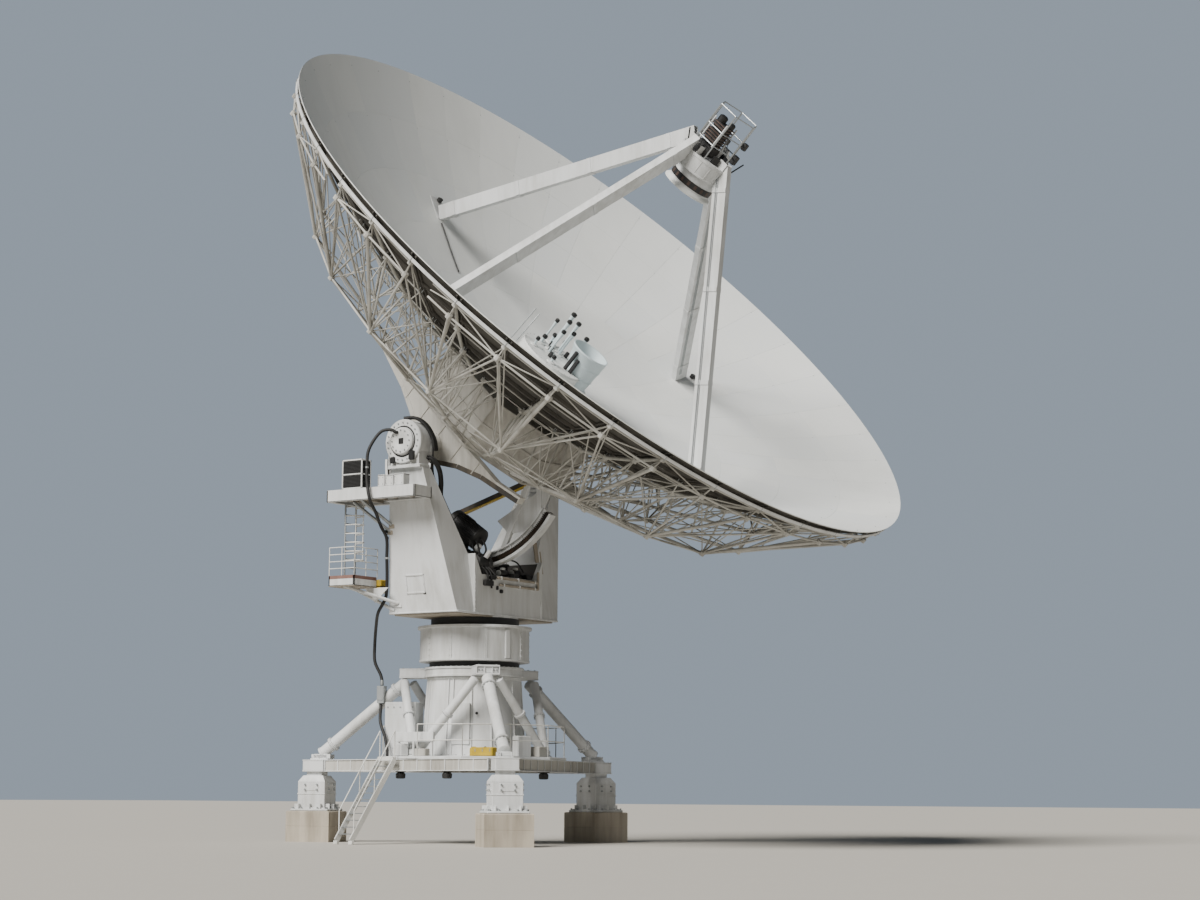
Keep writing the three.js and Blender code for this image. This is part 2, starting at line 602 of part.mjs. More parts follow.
// A quarter of the skin between two angles, in rings of panels.
function skinQuarter(start) {
  const columns = PANEL_COLUMNS / 4;
  const points = [];
  for (const drop of [0, SKIN]) {
    for (let i = 0; i <= columns; i++) {
      const angle = start + (90 * i) / columns + (i === 0 ? QUARTER_TRIM : 0) - (i === columns ? QUARTER_TRIM : 0);
      for (const radius of PANEL_RADII) points.push(onDish(radius, angle, reflectorHeight(radius) - drop));
    }
  }
  const rows = PANEL_RADII.length;
  const layer = (columns + 1) * rows;
  const at = (side, i, j) => side * layer + i * rows + j;
  const faces = [];
  const quad = (a, b, c, d) => faces.push(a, b, c, a, c, d);
  for (let i = 0; i < columns; i++) {
    for (let j = 0; j < rows - 1; j++) {
      quad(at(0, i, j), at(0, i + 1, j), at(0, i + 1, j + 1), at(0, i, j + 1));
      quad(at(1, i, j), at(1, i, j + 1), at(1, i + 1, j + 1), at(1, i + 1, j));
    }
    quad(at(0, i, 0), at(1, i, 0), at(1, i + 1, 0), at(0, i + 1, 0));
    quad(at(0, i, rows - 1), at(0, i + 1, rows - 1), at(1, i + 1, rows - 1), at(1, i, rows - 1));
  }
  for (let j = 0; j < rows - 1; j++) {
    quad(at(0, 0, j), at(0, 0, j + 1), at(1, 0, j + 1), at(1, 0, j));
    quad(at(0, columns, j), at(1, columns, j), at(1, columns, j + 1), at(0, columns, j + 1));
  }
  const geometry = new THREE.BufferGeometry().setFromPoints(points);
  geometry.setIndex(faces);
  return geometry;
}

// How far in from the ends of its quarter a piece of the reflector stops, in degrees.
const QUARTER_TRIM = (GAP / DISH_RADIUS / DEGREE) * 1.2;

// A ring channel behind a quarter of the skin, sunk into it, at a share of the way across a ring of panels.
function ringStiffener(start, ring, share) {
  const [inner, outer] = [PANEL_RADII[ring], PANEL_RADII[ring + 1]];
  const [low, high] = [reflectorHeight(inner), reflectorHeight(outer)];
  const middle = inner + (outer - inner) * share;
  const face = (radius) => low + ((high - low) * (radius - inner)) / (outer - inner);
  const columns = PANEL_COLUMNS / 4;
  const points = [];
  for (let i = 0; i <= columns; i++) {
    const angle = start + (90 * i) / columns + (i === 0 ? QUARTER_TRIM : 0) - (i === columns ? QUARTER_TRIM : 0);
    const [near, far] = [middle - STIFFENER.width / 2, middle + STIFFENER.width / 2];
    for (const [radius, drop] of [
      [far, SKIN + STIFFENER.depth], [near, SKIN + STIFFENER.depth], [near, SKIN / 2], [far, SKIN / 2],
    ]) {
      points.push(onDish(radius, angle, face(radius) - drop));
    }
  }
  const faces = [0, 1, 2, 0, 2, 3];
  for (let i = 0; i < columns; i++) {
    for (let j = 0; j < 4; j++) {
      const [a, b] = [4 * i + j, 4 * i + ((j + 1) % 4)];
      faces.push(a, a + 4, b + 4, a, b + 4, b);
    }
  }
  const last = 4 * columns;
  faces.push(last, last + 2, last + 1, last, last + 3, last + 2);
  const geometry = new THREE.BufferGeometry().setFromPoints(points);
  geometry.setIndex(faces);
  return geometry;
}

// A quarter of the reflector: its skin with the ring channels behind the outer rings of panels.
function reflectorQuarter(start) {
  const pieces = [skinQuarter(start)];
  for (let ring = STIFFENER.firstRing; ring < PANEL_RADII.length - 1; ring++) {
    for (const share of STIFFENER.shares) pieces.push(ringStiffener(start, ring, share));
  }
  return fuse(pieces);
}

// The nodes of a rib in its own plane: under the skin, at the rim's lower ring, and along the lower chord.
const underSkin = (radius) => ({ radius, height: reflectorHeight(radius) - CHORD_DROP });
const RIM = underSkin(12300);
const OUTER = underSkin(PANEL_RADII[5]);
const UPPER = underSkin(PANEL_RADII[4]);
const MIDDLE = underSkin(PANEL_RADII[3]);
const INNER = underSkin(PANEL_RADII[2]);
const RIM_CHORD = { radius: RIM_CHORD_RADIUS, height: reflectorHeight(RIM_CHORD_RADIUS) - RIM_DEPTH };

// A bar between two nodes, ending inside the gusset blocks that stand at them.
function barBetween(a, from, b, to, radius) {
  const start = onDish(a.radius, from, a.height);
  const end = onDish(b.radius, to, b.height);
  const along = end.clone().sub(start).normalize();
  return bar(start.addScaledVector(along, GUSSET * 0.5), end.addScaledVector(along, -GUSSET * 0.5), radius);
}

function gusset(node, angle) {
  const centre = onDish(node.radius, angle, node.height);
  const geometry = new THREE.BoxGeometry(2 * GUSSET, 2 * GUSSET, 2 * GUSSET);
  geometry.rotateZ(-angle * DEGREE);
  geometry.translate(centre.x, centre.y, centre.z);
  return geometry;
}

function ribBars(angle) {
  const chords = [[RIM_CHORD, KNEE], [KNEE, WAIST], [WAIST, HEEL]];
  const webs = [
    [RIM, OUTER], [OUTER, UPPER], [UPPER, MIDDLE], [MIDDLE, INNER], [INNER, HEEL],
    [RIM, RIM_CHORD], [UPPER, KNEE], [UPPER, WAIST], [INNER, WAIST],
  ];
  return [
    ...chords.map(([a, b]) => barBetween(a, angle, b, angle, CHORD_RADIUS)),
    ...webs.map(([a, b]) => barBetween(a, angle, b, angle, BAR_RADIUS)),
    ...[RIM, RIM_CHORD, OUTER, UPPER, MIDDLE, INNER, KNEE, WAIST].map((node) => gusset(node, angle)),
  ];
}

// The bars from one rib to the next: the rings, and the fan from each knee to the rim between two ribs.
function bayBars(angle) {
  const half = angle + 180 / RIBS;
  const next = angle + 360 / RIBS;
  const pairs = [
    [RIM_CHORD, angle, RIM_CHORD, half], [RIM_CHORD, half, RIM_CHORD, next],
    [RIM_CHORD, half, KNEE, angle], [RIM_CHORD, half, KNEE, next],
    [KNEE, angle, KNEE, next], [WAIST, angle, WAIST, next],
  ];
  return [...pairs.map(([a, from, b, to]) => barBetween(a, from, b, to, BAR_RADIUS)), gusset(RIM_CHORD, half)];
}

// A quarter of the back structure: five ribs and the bays after them, clear of the hub and of the next quarter.
function latticeQuarter(start) {
  const step = 360 / RIBS;
  const pieces = [];
  for (let i = 0; i < RIBS / 4; i++) {
    pieces.push(...ribBars(start + i * step));
    pieces.push(...bayBars(start + i * step));
  }
  return carve(fuse(pieces), [hubClearance(), nextRibClearance(start + 90)]);
}

// An upright prism with eight sides, with a flat side towards +Y.
function octagon(apothem, z0, z1) {
  const geometry = post(apothem / Math.cos(Math.PI / 8), z0, z1, 8);
  geometry.rotateZ(Math.PI / 8);
  return geometry;
}

function hubClearance() {
  const air = 3;
  return octagon(HUB.apothem + air, overVertex(-DISH_RADIUS), overVertex(DISH_RADIUS));
}

// The slab of space that the first rib of the next quarter stands in.
function nextRibClearance(angle) {
  const half = GUSSET + 5;
  const geometry = block(-2 * DISH_RADIUS, 0, -half, half, overVertex(-DISH_RADIUS), overVertex(DISH_RADIUS));
  geometry.rotateZ(-angle * DEGREE);
  return geometry;
}

// The hub: a closed eight-sided box, with the two brackets and their trunnions.
function hub() {
  const pieces = [octagon(HUB.apothem, overVertex(HUB.bottom), overVertex(HUB.top))];
  for (const side of [-1, 1]) {
    pieces.push(bracket(side));
    const root = side * (BRACKET.outer - PLATE);
    pieces.push(bar(vec(0, root, 0), vec(0, side * TRUNNION_END, 0), TRUNNION_RADIUS, 28));
  }
  return fuse(pieces);
}

// A bracket of the hub: a wide V over the elevation axis, its tips reaching out past the hub.
function bracket(side) {
  const right = BRACKET_EDGE;
  const left = right.map(([x, z]) => [-x, z]).reverse();
  const root = overVertex(HUB.bottom) + BRACKET.rootDepth;
  const flat = BRACKET.flatHalf;
  const outline = [...right, [flat, 1000], [flat, root], [-flat, root], [-flat, 1000], ...left];
  const y0 = side > 0 ? BRACKET.inner : -BRACKET.outer;
  return extrudedAlongY(outline, y0, y0 + BRACKET.outer - BRACKET.inner);
}

// A point of the gear's plane, at an angle from the dish's pointing direction.
const onGear = (radius, degrees) => [-radius * Math.sin(degrees * DEGREE), radius * Math.cos(degrees * DEGREE)];

// The elevation gear: a sector of plate with its spokes and a web up to the hub.
function elevationGear() {
  const arc = (radius) =>
    Array.from({ length: GEAR.steps + 1 }, (_, i) =>
      onGear(radius, GEAR.start + ((GEAR.end - GEAR.start) * i) / GEAR.steps),
    );
  const outline = [...arc(GEAR.radius), ...arc(GEAR.radius - GEAR.depth).reverse()];
  const rim = extrudedAlongY(outline, -GEAR.width / 2, GEAR.width / 2);
  const top = overVertex(HUB.bottom) - 1;
  const spokes = GEAR_SPOKES.map(([x, degrees]) => {
    const [gearX, gearZ] = onGear(GEAR.radius - GEAR.depth * 0.6, degrees);
    return bar(vec(x, 0, top + 2 * GEAR.spoke), vec(gearX, 0, gearZ), GEAR.spoke, 8);
  });
  const web = extrudedAlongY(GEAR_WEB, -GEAR.web / 2, GEAR.web / 2);
  const reach = 2 * HUB.apothem;
  return carve(fuse([rim, web, ...spokes]), [block(-reach, reach, -reach, reach, top, top + reach)]);
}

// A leg of the apex support: a rectangular tube with open ends, from its foot on the skin up to the ring.
function leg(angle) {
  const a = onDish(LEG_FOOT_RADIUS, angle, reflectorHeight(LEG_FOOT_RADIUS) + LEG_SEAT);
  const b = onDish(LEG_TOP.radius, angle, LEG_TOP.height).add(vec(-LEG_TOP.shift, 0, 0));
  const up = onDish(0, angle, 0).sub(onDish(1, angle, 0)).normalize();
  const along = b.clone().sub(a).normalize();
  b.addScaledVector(along, LEG_TOP.reach);
  const start = a.clone().addScaledVector(along, -APEX.radius);
  const end = b.clone().addScaledVector(along, APEX.radius);
  const hollow = beam(start, end, LEG_WIDTH - 2 * LEG_WALL, LEG_DEPTH - 2 * LEG_WALL, up);
  return carve(beam(a, b, LEG_WIDTH, LEG_DEPTH, up), [hollow, skinClearance(angle), apexClearance()]);
}

// The space under the skin's face around a leg's foot.
function skinClearance(angle) {
  const inner = PANEL_RADII[3];
  const outer = PANEL_RADII[4];
  const slope = (reflectorHeight(outer) - reflectorHeight(inner)) / (outer - inner);
  const face = (radius) => overVertex(reflectorHeight(inner) + slope * (radius - inner) + FOOT_GAP);
  const [near, far] = [LEG_FOOT_RADIUS - 1500, LEG_FOOT_RADIUS + 1500];
  const outline = [[-far, face(far)], [-far, face(far) - far], [-near, face(near) - far], [-near, face(near)]];
  const geometry = extrudedAlongY(outline, -2 * LEG_WIDTH, 2 * LEG_WIDTH);
  geometry.rotateZ(-angle * DEGREE);
  return geometry;
}

function apexClearance() {
  return post(APEX.radius + 2, 0, overVertex(CAGE.top), 16);
}

// The apex: a ring that the legs meet, with a lid, the equipment rack and the railed cage over it.
function apex() {
  const top = overVertex(APEX.top);
  const rack = post(RACK.radius, top, overVertex(RACK.top), 12);
  rack.translate(-RACK.shift, 0, 0);
  const pieces = [
    sleeve(APEX.inner, APEX.radius, overVertex(APEX.bottom), top, 16),
    post(APEX.radius, top - GAP, top + APEX.lid, 16),
    rack,
  ];
  const corner = (i, height) => polar(CAGE.radius, (360 * i) / CAGE.posts, overVertex(height));
  for (let i = 0; i < CAGE.posts; i++) {
    pieces.push(bar(corner(i, APEX.top), corner(i, CAGE.top), CAGE.post, 4));
    for (const height of [CAGE.rail, CAGE.top - CAGE.post]) {
      pieces.push(bar(corner(i, height), corner(i + 1, height), CAGE.bar, 4));
    }
  }
  return fuse(pieces);
}

function subreflectorCan() {
  const geometry = post(CAN.radius, overVertex(CAN.bottom), overVertex(APEX.top) - 2 * GAP, 24);
  geometry.translate(CAN.shift, 0, 0);
  return geometry;
}

// The subreflector: a convex face towards the dish and a sloping back.
function subreflector() {
  const { radius, face, sag, rimTop } = SUBREFLECTOR;
  const front = [0, 0.3, 0.55, 0.8, 1].map((share) => [radius * share, overVertex(face + sag * share * share)]);
  const back = overVertex(CAN.bottom) - GAP;
  const geometry = turned([...front, [radius, overVertex(rimTop)], [CAN.radius, back], [0, back]], 32);
  geometry.translate(CAN.shift, 0, 0);
  return geometry;
}

// The round feed housing at the vertex, with the turret at its side that the big horn stands on.
function feedHousing() {
  const [x, y] = HORN.place;
  const turret = post(TURRET.radius, overVertex(TURRET.bottom), overVertex(TURRET.top), 20);
  turret.translate(x, y, 0);
  const bite = post(FEED.bite, overVertex(TURRET.top), overVertex(HORN.top), 20);
  bite.translate(x, y, 0);
  return carve(fuse([post(FEED.radius, overVertex(FEED.bottom), overVertex(FEED.top), 24), turret]), [bite]);
}

// The big horn, which leans in towards the subreflector.
function feedHorn() {
  const [x, y] = HORN.place;
  const [leanX, leanY] = HORN.lean;
  const foot = 0;
  const top = HORN.top - TURRET.top;
  const mouth = HORN.radius - HORN.wall;
  const profile = [
    [0, foot], [HORN.foot, foot], [HORN.radius, top], [mouth, top], [mouth - HORN.wall, top - HORN.depth],
    [0, top - HORN.depth],
  ];
  const geometry = turned(profile, 24);
  geometry.applyMatrix4(new THREE.Matrix4().makeShear(0, 0, 0, 0, leanX, leanY));
  geometry.translate(x, y, overVertex(TURRET.top) + GAP);
  return geometry;
}

// Assembly

const base = new THREE.Group();
const cornerNames = Object.keys(CORNERS);
cornerNames.forEach((name, i) => {
  const bearing = CORNERS[name];
  const side = `${name}_${cornerNames[(i + 1) % 3]}`;
  base.add(named(`pier_${name}`, pier(bearing), concrete));
  base.add(named(`foot_${name}`, foot(bearing), white));
  base.add(named(`corner_strut_${name}`, cornerStrut(bearing), white));
  base.add(named(`frame_beam_${side}`, frameBeam(bearing, bearing + 120), white));
  base.add(named(`side_struts_${side}`, sideStruts(bearing, bearing + 120), white));
});
base.add(named("base_deck", deck(), white));
base.add(named("pedestal_drum", drum(), white));
base.add(named("pedestal_ring", ring(), white));
base.add(named("base_stair", stair(), white));
base.add(named("azimuth_housing", azimuthHousing(), white));
base.add(named("deck_cabinet", deckCabinet(), white));
base.add(named("deck_box", deckBox(), ochre));
base.add(named("drop_cable_socket", socketBox(), galvanised));
base.add(named("deck_drop_cable", cable(DROP_CABLE_LOWER, DROP_CABLE_RADIUS, 14), rubber));

const yoke = new THREE.Group();
yoke.add(named("yoke_saddle", saddle(), white));
for (const [name, side] of [["near", -1], ["far", 1]]) {
  yoke.add(named(`yoke_arm_${name}`, arm(side), white));
  yoke.add(named(`elevation_bearing_${name}`, bearing(side), white));
}
yoke.add(named("service_platform", servicePlatform(), white));
yoke.add(named("louvre_cabinet", onPlatform(LOUVRE_CABINET), darkSteel));
yoke.add(named("control_cabinet", onPlatform(CONTROL_CABINET), white));
yoke.add(named("yoke_ladder", ladder(), galvanised));
yoke.add(named("yoke_landing_box", landingBox(), ochre));
yoke.add(named("elevation_drive", elevationDrive(), darkSteel));
yoke.add(named("elevation_motor", elevationMotor(), darkSteel));
yoke.add(named("yoke_arm_cable", armCable(), rubber));
yoke.add(named("yoke_drop_cable", cable(DROP_CABLE_UPPER, DROP_CABLE_RADIUS, 64), rubber));

const dish = new THREE.Group();
dish.position.set(0, 0, AXIS_HEIGHT);
dish.rotation.y = (90 - ELEVATION) * DEGREE;
for (let quarter = 0; quarter < 4; quarter++) {
  const start = quarter * 90;
  dish.add(named(`reflector_quarter_${quarter + 1}`, reflectorQuarter(start), panelWhite));
  dish.add(named(`lattice_quarter_${quarter + 1}`, latticeQuarter(start), white));
  dish.add(named(`apex_leg_${quarter + 1}`, leg(start), white));
}
dish.add(named("hub", hub(), white));
dish.add(named("elevation_gear", elevationGear(), white));
dish.add(named("apex_frame", apex(), white));
dish.add(named("subreflector_can", subreflectorCan(), white));
dish.add(named("subreflector", subreflector(), panelWhite));
dish.add(named("feed_housing", feedHousing(), white));
dish.add(named("feed_horn", feedHorn(), white));

const telescope = new THREE.Group();
telescope.position.x = REAR_SHIFT;
telescope.add(base, yoke, dish);

export default telescope;
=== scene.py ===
"""Dresses a 25 m radio telescope dish: panels, back structure, apex, yoke, drive and pedestal.

Lengths are in metres. Three places to work from:
- the ground frame, with the azimuth axis at AXIS_X and +X the side that the dish points towards;
- the mount frame, the same but with its origin on the azimuth axis (MOUNT);
- the dish frame, with +Z the pointing direction from the elevation axis and +X down the dish (DISH).
"""

import json
import math
import random

import bmesh
import bpy
from bpy.props import FloatProperty, FloatVectorProperty, IntProperty, PointerProperty
from mathutils import Matrix, Vector


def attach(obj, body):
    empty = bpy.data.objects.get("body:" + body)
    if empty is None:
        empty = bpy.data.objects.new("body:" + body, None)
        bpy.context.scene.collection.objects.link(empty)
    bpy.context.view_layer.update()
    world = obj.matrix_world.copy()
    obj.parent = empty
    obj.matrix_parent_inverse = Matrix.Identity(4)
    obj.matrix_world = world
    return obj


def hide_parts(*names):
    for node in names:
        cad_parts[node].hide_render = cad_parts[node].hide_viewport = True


bl_info = {
    "name": "Radio telescope dish",
    "version": (1, 0, 0),
    "blender": (4, 5, 0),
    "location": "3D View > Sidebar > Telescope",
    "description": "Dresses the packed model of a 25 m dish, its yoke and its pedestal",
    "category": "Object",
}

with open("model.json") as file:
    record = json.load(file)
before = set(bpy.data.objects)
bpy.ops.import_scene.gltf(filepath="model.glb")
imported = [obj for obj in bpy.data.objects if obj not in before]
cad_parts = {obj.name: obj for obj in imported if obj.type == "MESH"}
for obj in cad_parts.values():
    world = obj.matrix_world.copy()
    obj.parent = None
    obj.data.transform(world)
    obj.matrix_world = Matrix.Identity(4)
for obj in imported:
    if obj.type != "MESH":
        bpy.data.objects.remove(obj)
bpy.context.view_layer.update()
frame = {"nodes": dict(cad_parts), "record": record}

JOINTS = {joint["name"]: joint for joint in frame["record"]["behaviour"]["joints"]}
AXIS_X = JOINTS["azimuth"]["pos_m"][0]
AXIS_Z = JOINTS["elevation"]["pos_m"][2]
REST_ELEVATION = 45
MOUNT = Matrix.Translation((AXIS_X, 0, 0))
DISH = Matrix.Translation((AXIS_X, 0, AXIS_Z)) @ Matrix.Rotation(math.radians(90 - REST_ELEVATION), 4, "Y")
FRAMES = {"base": MOUNT, "yoke": MOUNT, "dish": DISH}  # the frame that each body's pieces are drawn in
CORNERS = {"front": -43, "right": 77, "left": 197}  # bearings of the pedestal's corners, in degrees
SIDES = (("front", "right"), ("right", "left"), ("left", "front"))  # from corner to corner

VERTEX = 3.4  # from the elevation axis to the dish's vertex
PANEL_RADII = (1.3, 3.15, 5.1, 7.0, 8.9, 10.75, 12.5)
PANEL_COUNTS = (12, 20, 20, 40, 40, 40)
RIBS = 20
HUB_BOTTOM = VERTEX - 2.4
CHORD_DROP = 0.25  # from the panels' face to the middle of the bars under it

# Heights and half widths in the mount frame
DECK_TOP, RING_TOP, YOKE_BOTTOM, SADDLE_TOP, ARM_HEAD = 2.9, 5.93, 7.65, 9.0, 12.4
YOKE_HALF_DEPTH, YOKE_HALF_WIDTH, SADDLE_HALF_WIDTH = 1.43, 2.9, 1.57
ARM_RISE = ARM_HEAD - YOKE_BOTTOM
ARM_FLARE, ARM_TAPER = 1.05, 0.73  # over its rise: the lean of its outer face, and the loss of half its depth
ARM_LEAN = 0.572  # how far an arm's inner face leans out for each metre of height
AIR = 0.0003  # between pieces that touch
UP = Vector((0, 0, 1))


# Small helpers for points and frames


def turn(degrees, axis="Z"):
    return Matrix.Rotation(math.radians(degrees), 4, axis)


def vec(x, y, z):
    return Vector((x, y, z))


def at(x=0.0, y=0.0, z=0.0):
    return Matrix.Translation((x, y, z))


def polar(radius, degrees, z=0.0):
    angle = math.radians(degrees)
    return vec(radius * math.cos(angle), radius * math.sin(angle), z)


def on_dish(radius, degrees, height):
    """A point in the dish frame; the angle runs from the rim's top towards +Y."""
    angle = math.radians(degrees)
    return vec(-radius * math.cos(angle), radius * math.sin(angle), VERTEX + height)


def paraboloid(radius):
    return radius * radius / (4 * bpy.context.scene.telescope_dish.focal_length)


def facing(point, direction, up=UP):
    """A frame at a point with +Z along the direction and +Y as near to up as it can be."""
    z = Vector(direction).normalized()
    side = Vector(up).cross(z)
    if side.length < 1e-4:
        side = vec(1, 0, 0)
    x = side.normalized()
    y = z.cross(x)
    turned = Matrix((x, y, z)).transposed().to_4x4()
    return Matrix.Translation(point) @ turned


# Meshes


class Shape:
    """Closed pieces that become part of one mesh."""

    def __init__(self):
        self.points, self.faces = [], []

    def add(self, points, faces, place=None):
        start = len(self.points)
        self.points += [place @ Vector(p) if place else Vector(p) for p in points]
        self.faces += [tuple(start + i for i in face) for face in faces]
        return self

    def loft(self, loops, place=None, closed=False):
        """Skins loops of points that run anticlockwise seen from the last one.

        The ends are capped, or the last loop is joined to the first where the skin is closed.
        """
        n, rows = len(loops[0]), len(loops)
        faces = []
        for row in range(rows if closed else rows - 1):
            here, there = row * n, ((row + 1) % rows) * n
            faces += [(here + i, here + (i + 1) % n, there + (i + 1) % n, there + i) for i in range(n)]
        if not closed:
            faces.append(tuple(range(n - 1, -1, -1)))
            faces.append(tuple((rows - 1) * n + i for i in range(n)))
        return self.add([p for loop in loops for p in loop], faces, place)

    def turned(self, profile, place=None, segments=48, closed=False):
        """A body of revolution around Z from [radius, height] pairs, from the foot out and up to the head."""
        circle = [
            (math.cos(2 * math.pi * i / segments), math.sin(2 * math.pi * i / segments))
            for i in range(segments)
        ]
        return self.loft([[(r * c, r * s, z) for c, s in circle] for r, z in profile], place, closed)

    def collar(self, inner, outer, z0, z1, place=None, segments=48):
        """A ring of square section around Z."""
        return self.turned([(inner, z0), (outer, z0), (outer, z1), (inner, z1)], place, segments, closed=True)

    def tube(self, a, b, radius, sides=12):
        a, b = Vector(a), Vector(b)
        return self.turned([(radius, 0), (radius, (b - a).length)], facing(a, b - a), sides)

    def pipe(self, points, radius, sides=10, beside=(0.0, 0.0)):
        """A tube along a smooth line through the points, or beside it by a step in its section."""
        line = smooth_line(points)
        loops, side = [], None
        for i, point in enumerate(line):
            along = (line[min(i + 1, len(line) - 1)] - line[max(i - 1, 0)]).normalized()
            side = (side or along.orthogonal()) - along * (side or along.orthogonal()).dot(along)
            side.normalize()
            over = along.cross(side)
            middle = point + beside[0] * side + beside[1] * over
            angles = [2 * math.pi * k / sides for k in range(sides)]
            loops.append([middle + radius * (side * math.cos(a) + over * math.sin(a)) for a in angles])
        return self.loft(loops)

    def box(self, low, high, place=None, chamfer=0.012):
        """A block between two corners, with its edges broken."""
        low, high = Vector(low), Vector(high)
        c = min(chamfer, min(high - low) * 0.3)
        loops = []
        for z, inset in ((low.z, c), (low.z + c, 0), (high.z - c, 0), (high.z, c)):
            x0, x1, y0, y1 = low.x + inset, high.x - inset, low.y + inset, high.y - inset
            loops.append([
                (x0 + c, y0, z), (x1 - c, y0, z), (x1, y0 + c, z), (x1, y1 - c, z), (x1 - c, y1, z),
                (x0 + c, y1, z), (x0, y1 - c, z), (x0, y0 + c, z),
            ])
        return self.loft(loops, place)

    def bar(self, a, b, width, depth, up=UP, chamfer=0.01):
        """A straight bar of rectangular section between two points."""
        a, b = Vector(a), Vector(b)
        half = vec(width / 2, depth / 2, 0)
        return self.box(-half, vec(half.x, half.y, (b - a).length), facing(a, b - a, up), chamfer)

    def plate(self, outline, thickness, place=None):
        """A flat plate from an outline of [x, y] pairs, counted anticlockwise, and its thickness along +Z."""
        return self.loft([[(x, y, z) for x, y in outline] for z in (0.0, thickness)], place)

    def mesh(self, paint):
        made = bpy.data.meshes.new("shape")
        made.from_pydata(self.points, [], self.faces)
        made.materials.append(PAINTS[paint])
        return made


def smooth_line(points, steps=6):
    """Points along a Catmull-Rom line through the given ones."""
    line = [Vector(p) for p in points]
    ends = [2 * line[0] - line[1], *line, 2 * line[-1] - line[-2]]
    made = []
    for a, b, c, d in zip(ends, ends[1:], ends[2:], ends[3:]):
        for k in range(steps):
            t = k / steps
            square, cube = 2 * a - 5 * b + 4 * c - d, 3 * b - a - 3 * c + d
            made.append(0.5 * (2 * b + (c - a) * t + square * t * t + cube * t ** 3))
    return [*made, line[-1]]


# Geometry Nodes


def add(tree, kind, inputs=(), **settings):
    """Adds a node with its settings, and gives each named input a value or a link."""
    node = tree.nodes.new(kind)
    for name, value in settings.items():
        setattr(node, name, value)
    for name, value in dict(inputs).items():
        if isinstance(value, bpy.types.NodeSocket):
            tree.links.new(value, node.inputs[name])
        else:
            node.inputs[name].default_value = value
    return node


def node_group(name, inputs):
    """An empty Geometry Nodes tree with named inputs, its group input, and a function that closes it."""
    tree = bpy.data.node_groups.new(name, "GeometryNodeTree")
    tree.interface.new_socket("Geometry", in_out="INPUT", socket_type="NodeSocketGeometry")
    tree.interface.new_socket("Geometry", in_out="OUTPUT", socket_type="NodeSocketGeometry")
    for label, kind, value in inputs:
        socket = tree.interface.new_socket(label, in_out="INPUT", socket_type=f"NodeSocket{kind}")
        if value is not None:
            socket.default_value = value
    tree.interface.new_socket("Material", in_out="INPUT", socket_type="NodeSocketMaterial")
    given = add(tree, "NodeGroupInput").outputs

    def close(geometry):
        real = add(tree, "GeometryNodeRealizeInstances", {"Geometry": geometry})
        painted = add(
            tree, "GeometryNodeSetMaterial", {"Geometry": real.outputs[0], "Material": given["Material"]},
        )
        end = add(tree, "NodeGroupOutput")
        tree.links.new(painted.outputs[0], end.inputs[0])
        return tree

    return tree, given, close


def round_bars_tree():
    """Every edge of a wire becomes a round bar, as thick as its points say."""
    tree, given, close = node_group("round_bars", [("Sides", "Int", 8)])
    split = add(tree, "GeometryNodeSplitEdges", {"Mesh": given["Geometry"]})
    curve = add(tree, "GeometryNodeMeshToCurve", {"Mesh": split.outputs[0]})
    thickness = add(tree, "GeometryNodeInputNamedAttribute", {"Name": "thickness"}, data_type="FLOAT")
    sized = add(
        tree, "GeometryNodeSetCurveRadius", {"Curve": curve.outputs[0], "Radius": thickness.outputs[0]},
    )
    section = add(tree, "GeometryNodeCurvePrimitiveCircle", {"Resolution": given["Sides"], "Radius": 1.0})
    bars = add(
        tree, "GeometryNodeCurveToMesh",
        {"Curve": sized.outputs[0], "Profile Curve": section.outputs[0], "Fill Caps": True},
    )
    scale = bars.inputs.get("Scale")
    if scale is not None:
        tree.links.new(thickness.outputs[0], scale)
    return close(bars.outputs[0])


def studs_tree():
    """A bolt head or other short round stud stands on every point, along the direction stored there."""
    tree, given, close = node_group(
        "studs", [("Radius", "Float", 0.03), ("Height", "Float", 0.03), ("Sides", "Int", 6)],
    )
    head = add(
        tree, "GeometryNodeMeshCylinder",
        {"Vertices": given["Sides"], "Radius": given["Radius"], "Depth": given["Height"]},
    )
    out = add(tree, "GeometryNodeInputNamedAttribute", {"Name": "out"}, data_type="FLOAT_VECTOR")
    aim = add(tree, "FunctionNodeAlignRotationToVector", {"Vector": out.outputs[0]}, axis="Z")
    placed = add(
        tree, "GeometryNodeInstanceOnPoints",
        {"Points": given["Geometry"], "Instance": head.outputs[0], "Rotation": aim.outputs[0]},
    )
    return close(placed.outputs[0])


def slats_tree():
    """A row of equal slats along +Y of the frame that the wire's one edge starts in."""
    tree, given, close = node_group("slats", [("Size", "Vector", None), ("Count", "Int", 8)])
    points = add(tree, "GeometryNodeMeshToCurve", {"Mesh": given["Geometry"]})
    spread = add(tree, "GeometryNodeCurveToPoints", {"Curve": points.outputs[0], "Count": given["Count"]})
    slat = add(tree, "GeometryNodeMeshCube", {"Size": given["Size"]})
    out = add(tree, "GeometryNodeInputNamedAttribute", {"Name": "out"}, data_type="FLOAT_VECTOR")
    across = add(tree, "GeometryNodeInputNamedAttribute", {"Name": "across"}, data_type="FLOAT_VECTOR")
    aim = add(tree, "FunctionNodeAlignRotationToVector", {"Vector": out.outputs[0]}, axis="Z")
    aligned = add(
        tree, "FunctionNodeAlignRotationToVector",
        {"Rotation": aim.outputs[0], "Vector": across.outputs[0]}, axis="X", pivot_axis="Z",
    )
    placed = add(
        tree, "GeometryNodeInstanceOnPoints",
        {"Points": spread.outputs[0], "Instance": slat.outputs[0], "Rotation": aligned.outputs[0]},
    )
    return close(placed.outputs[0])


TREES = {}  # the Geometry Nodes trees by name, filled by main


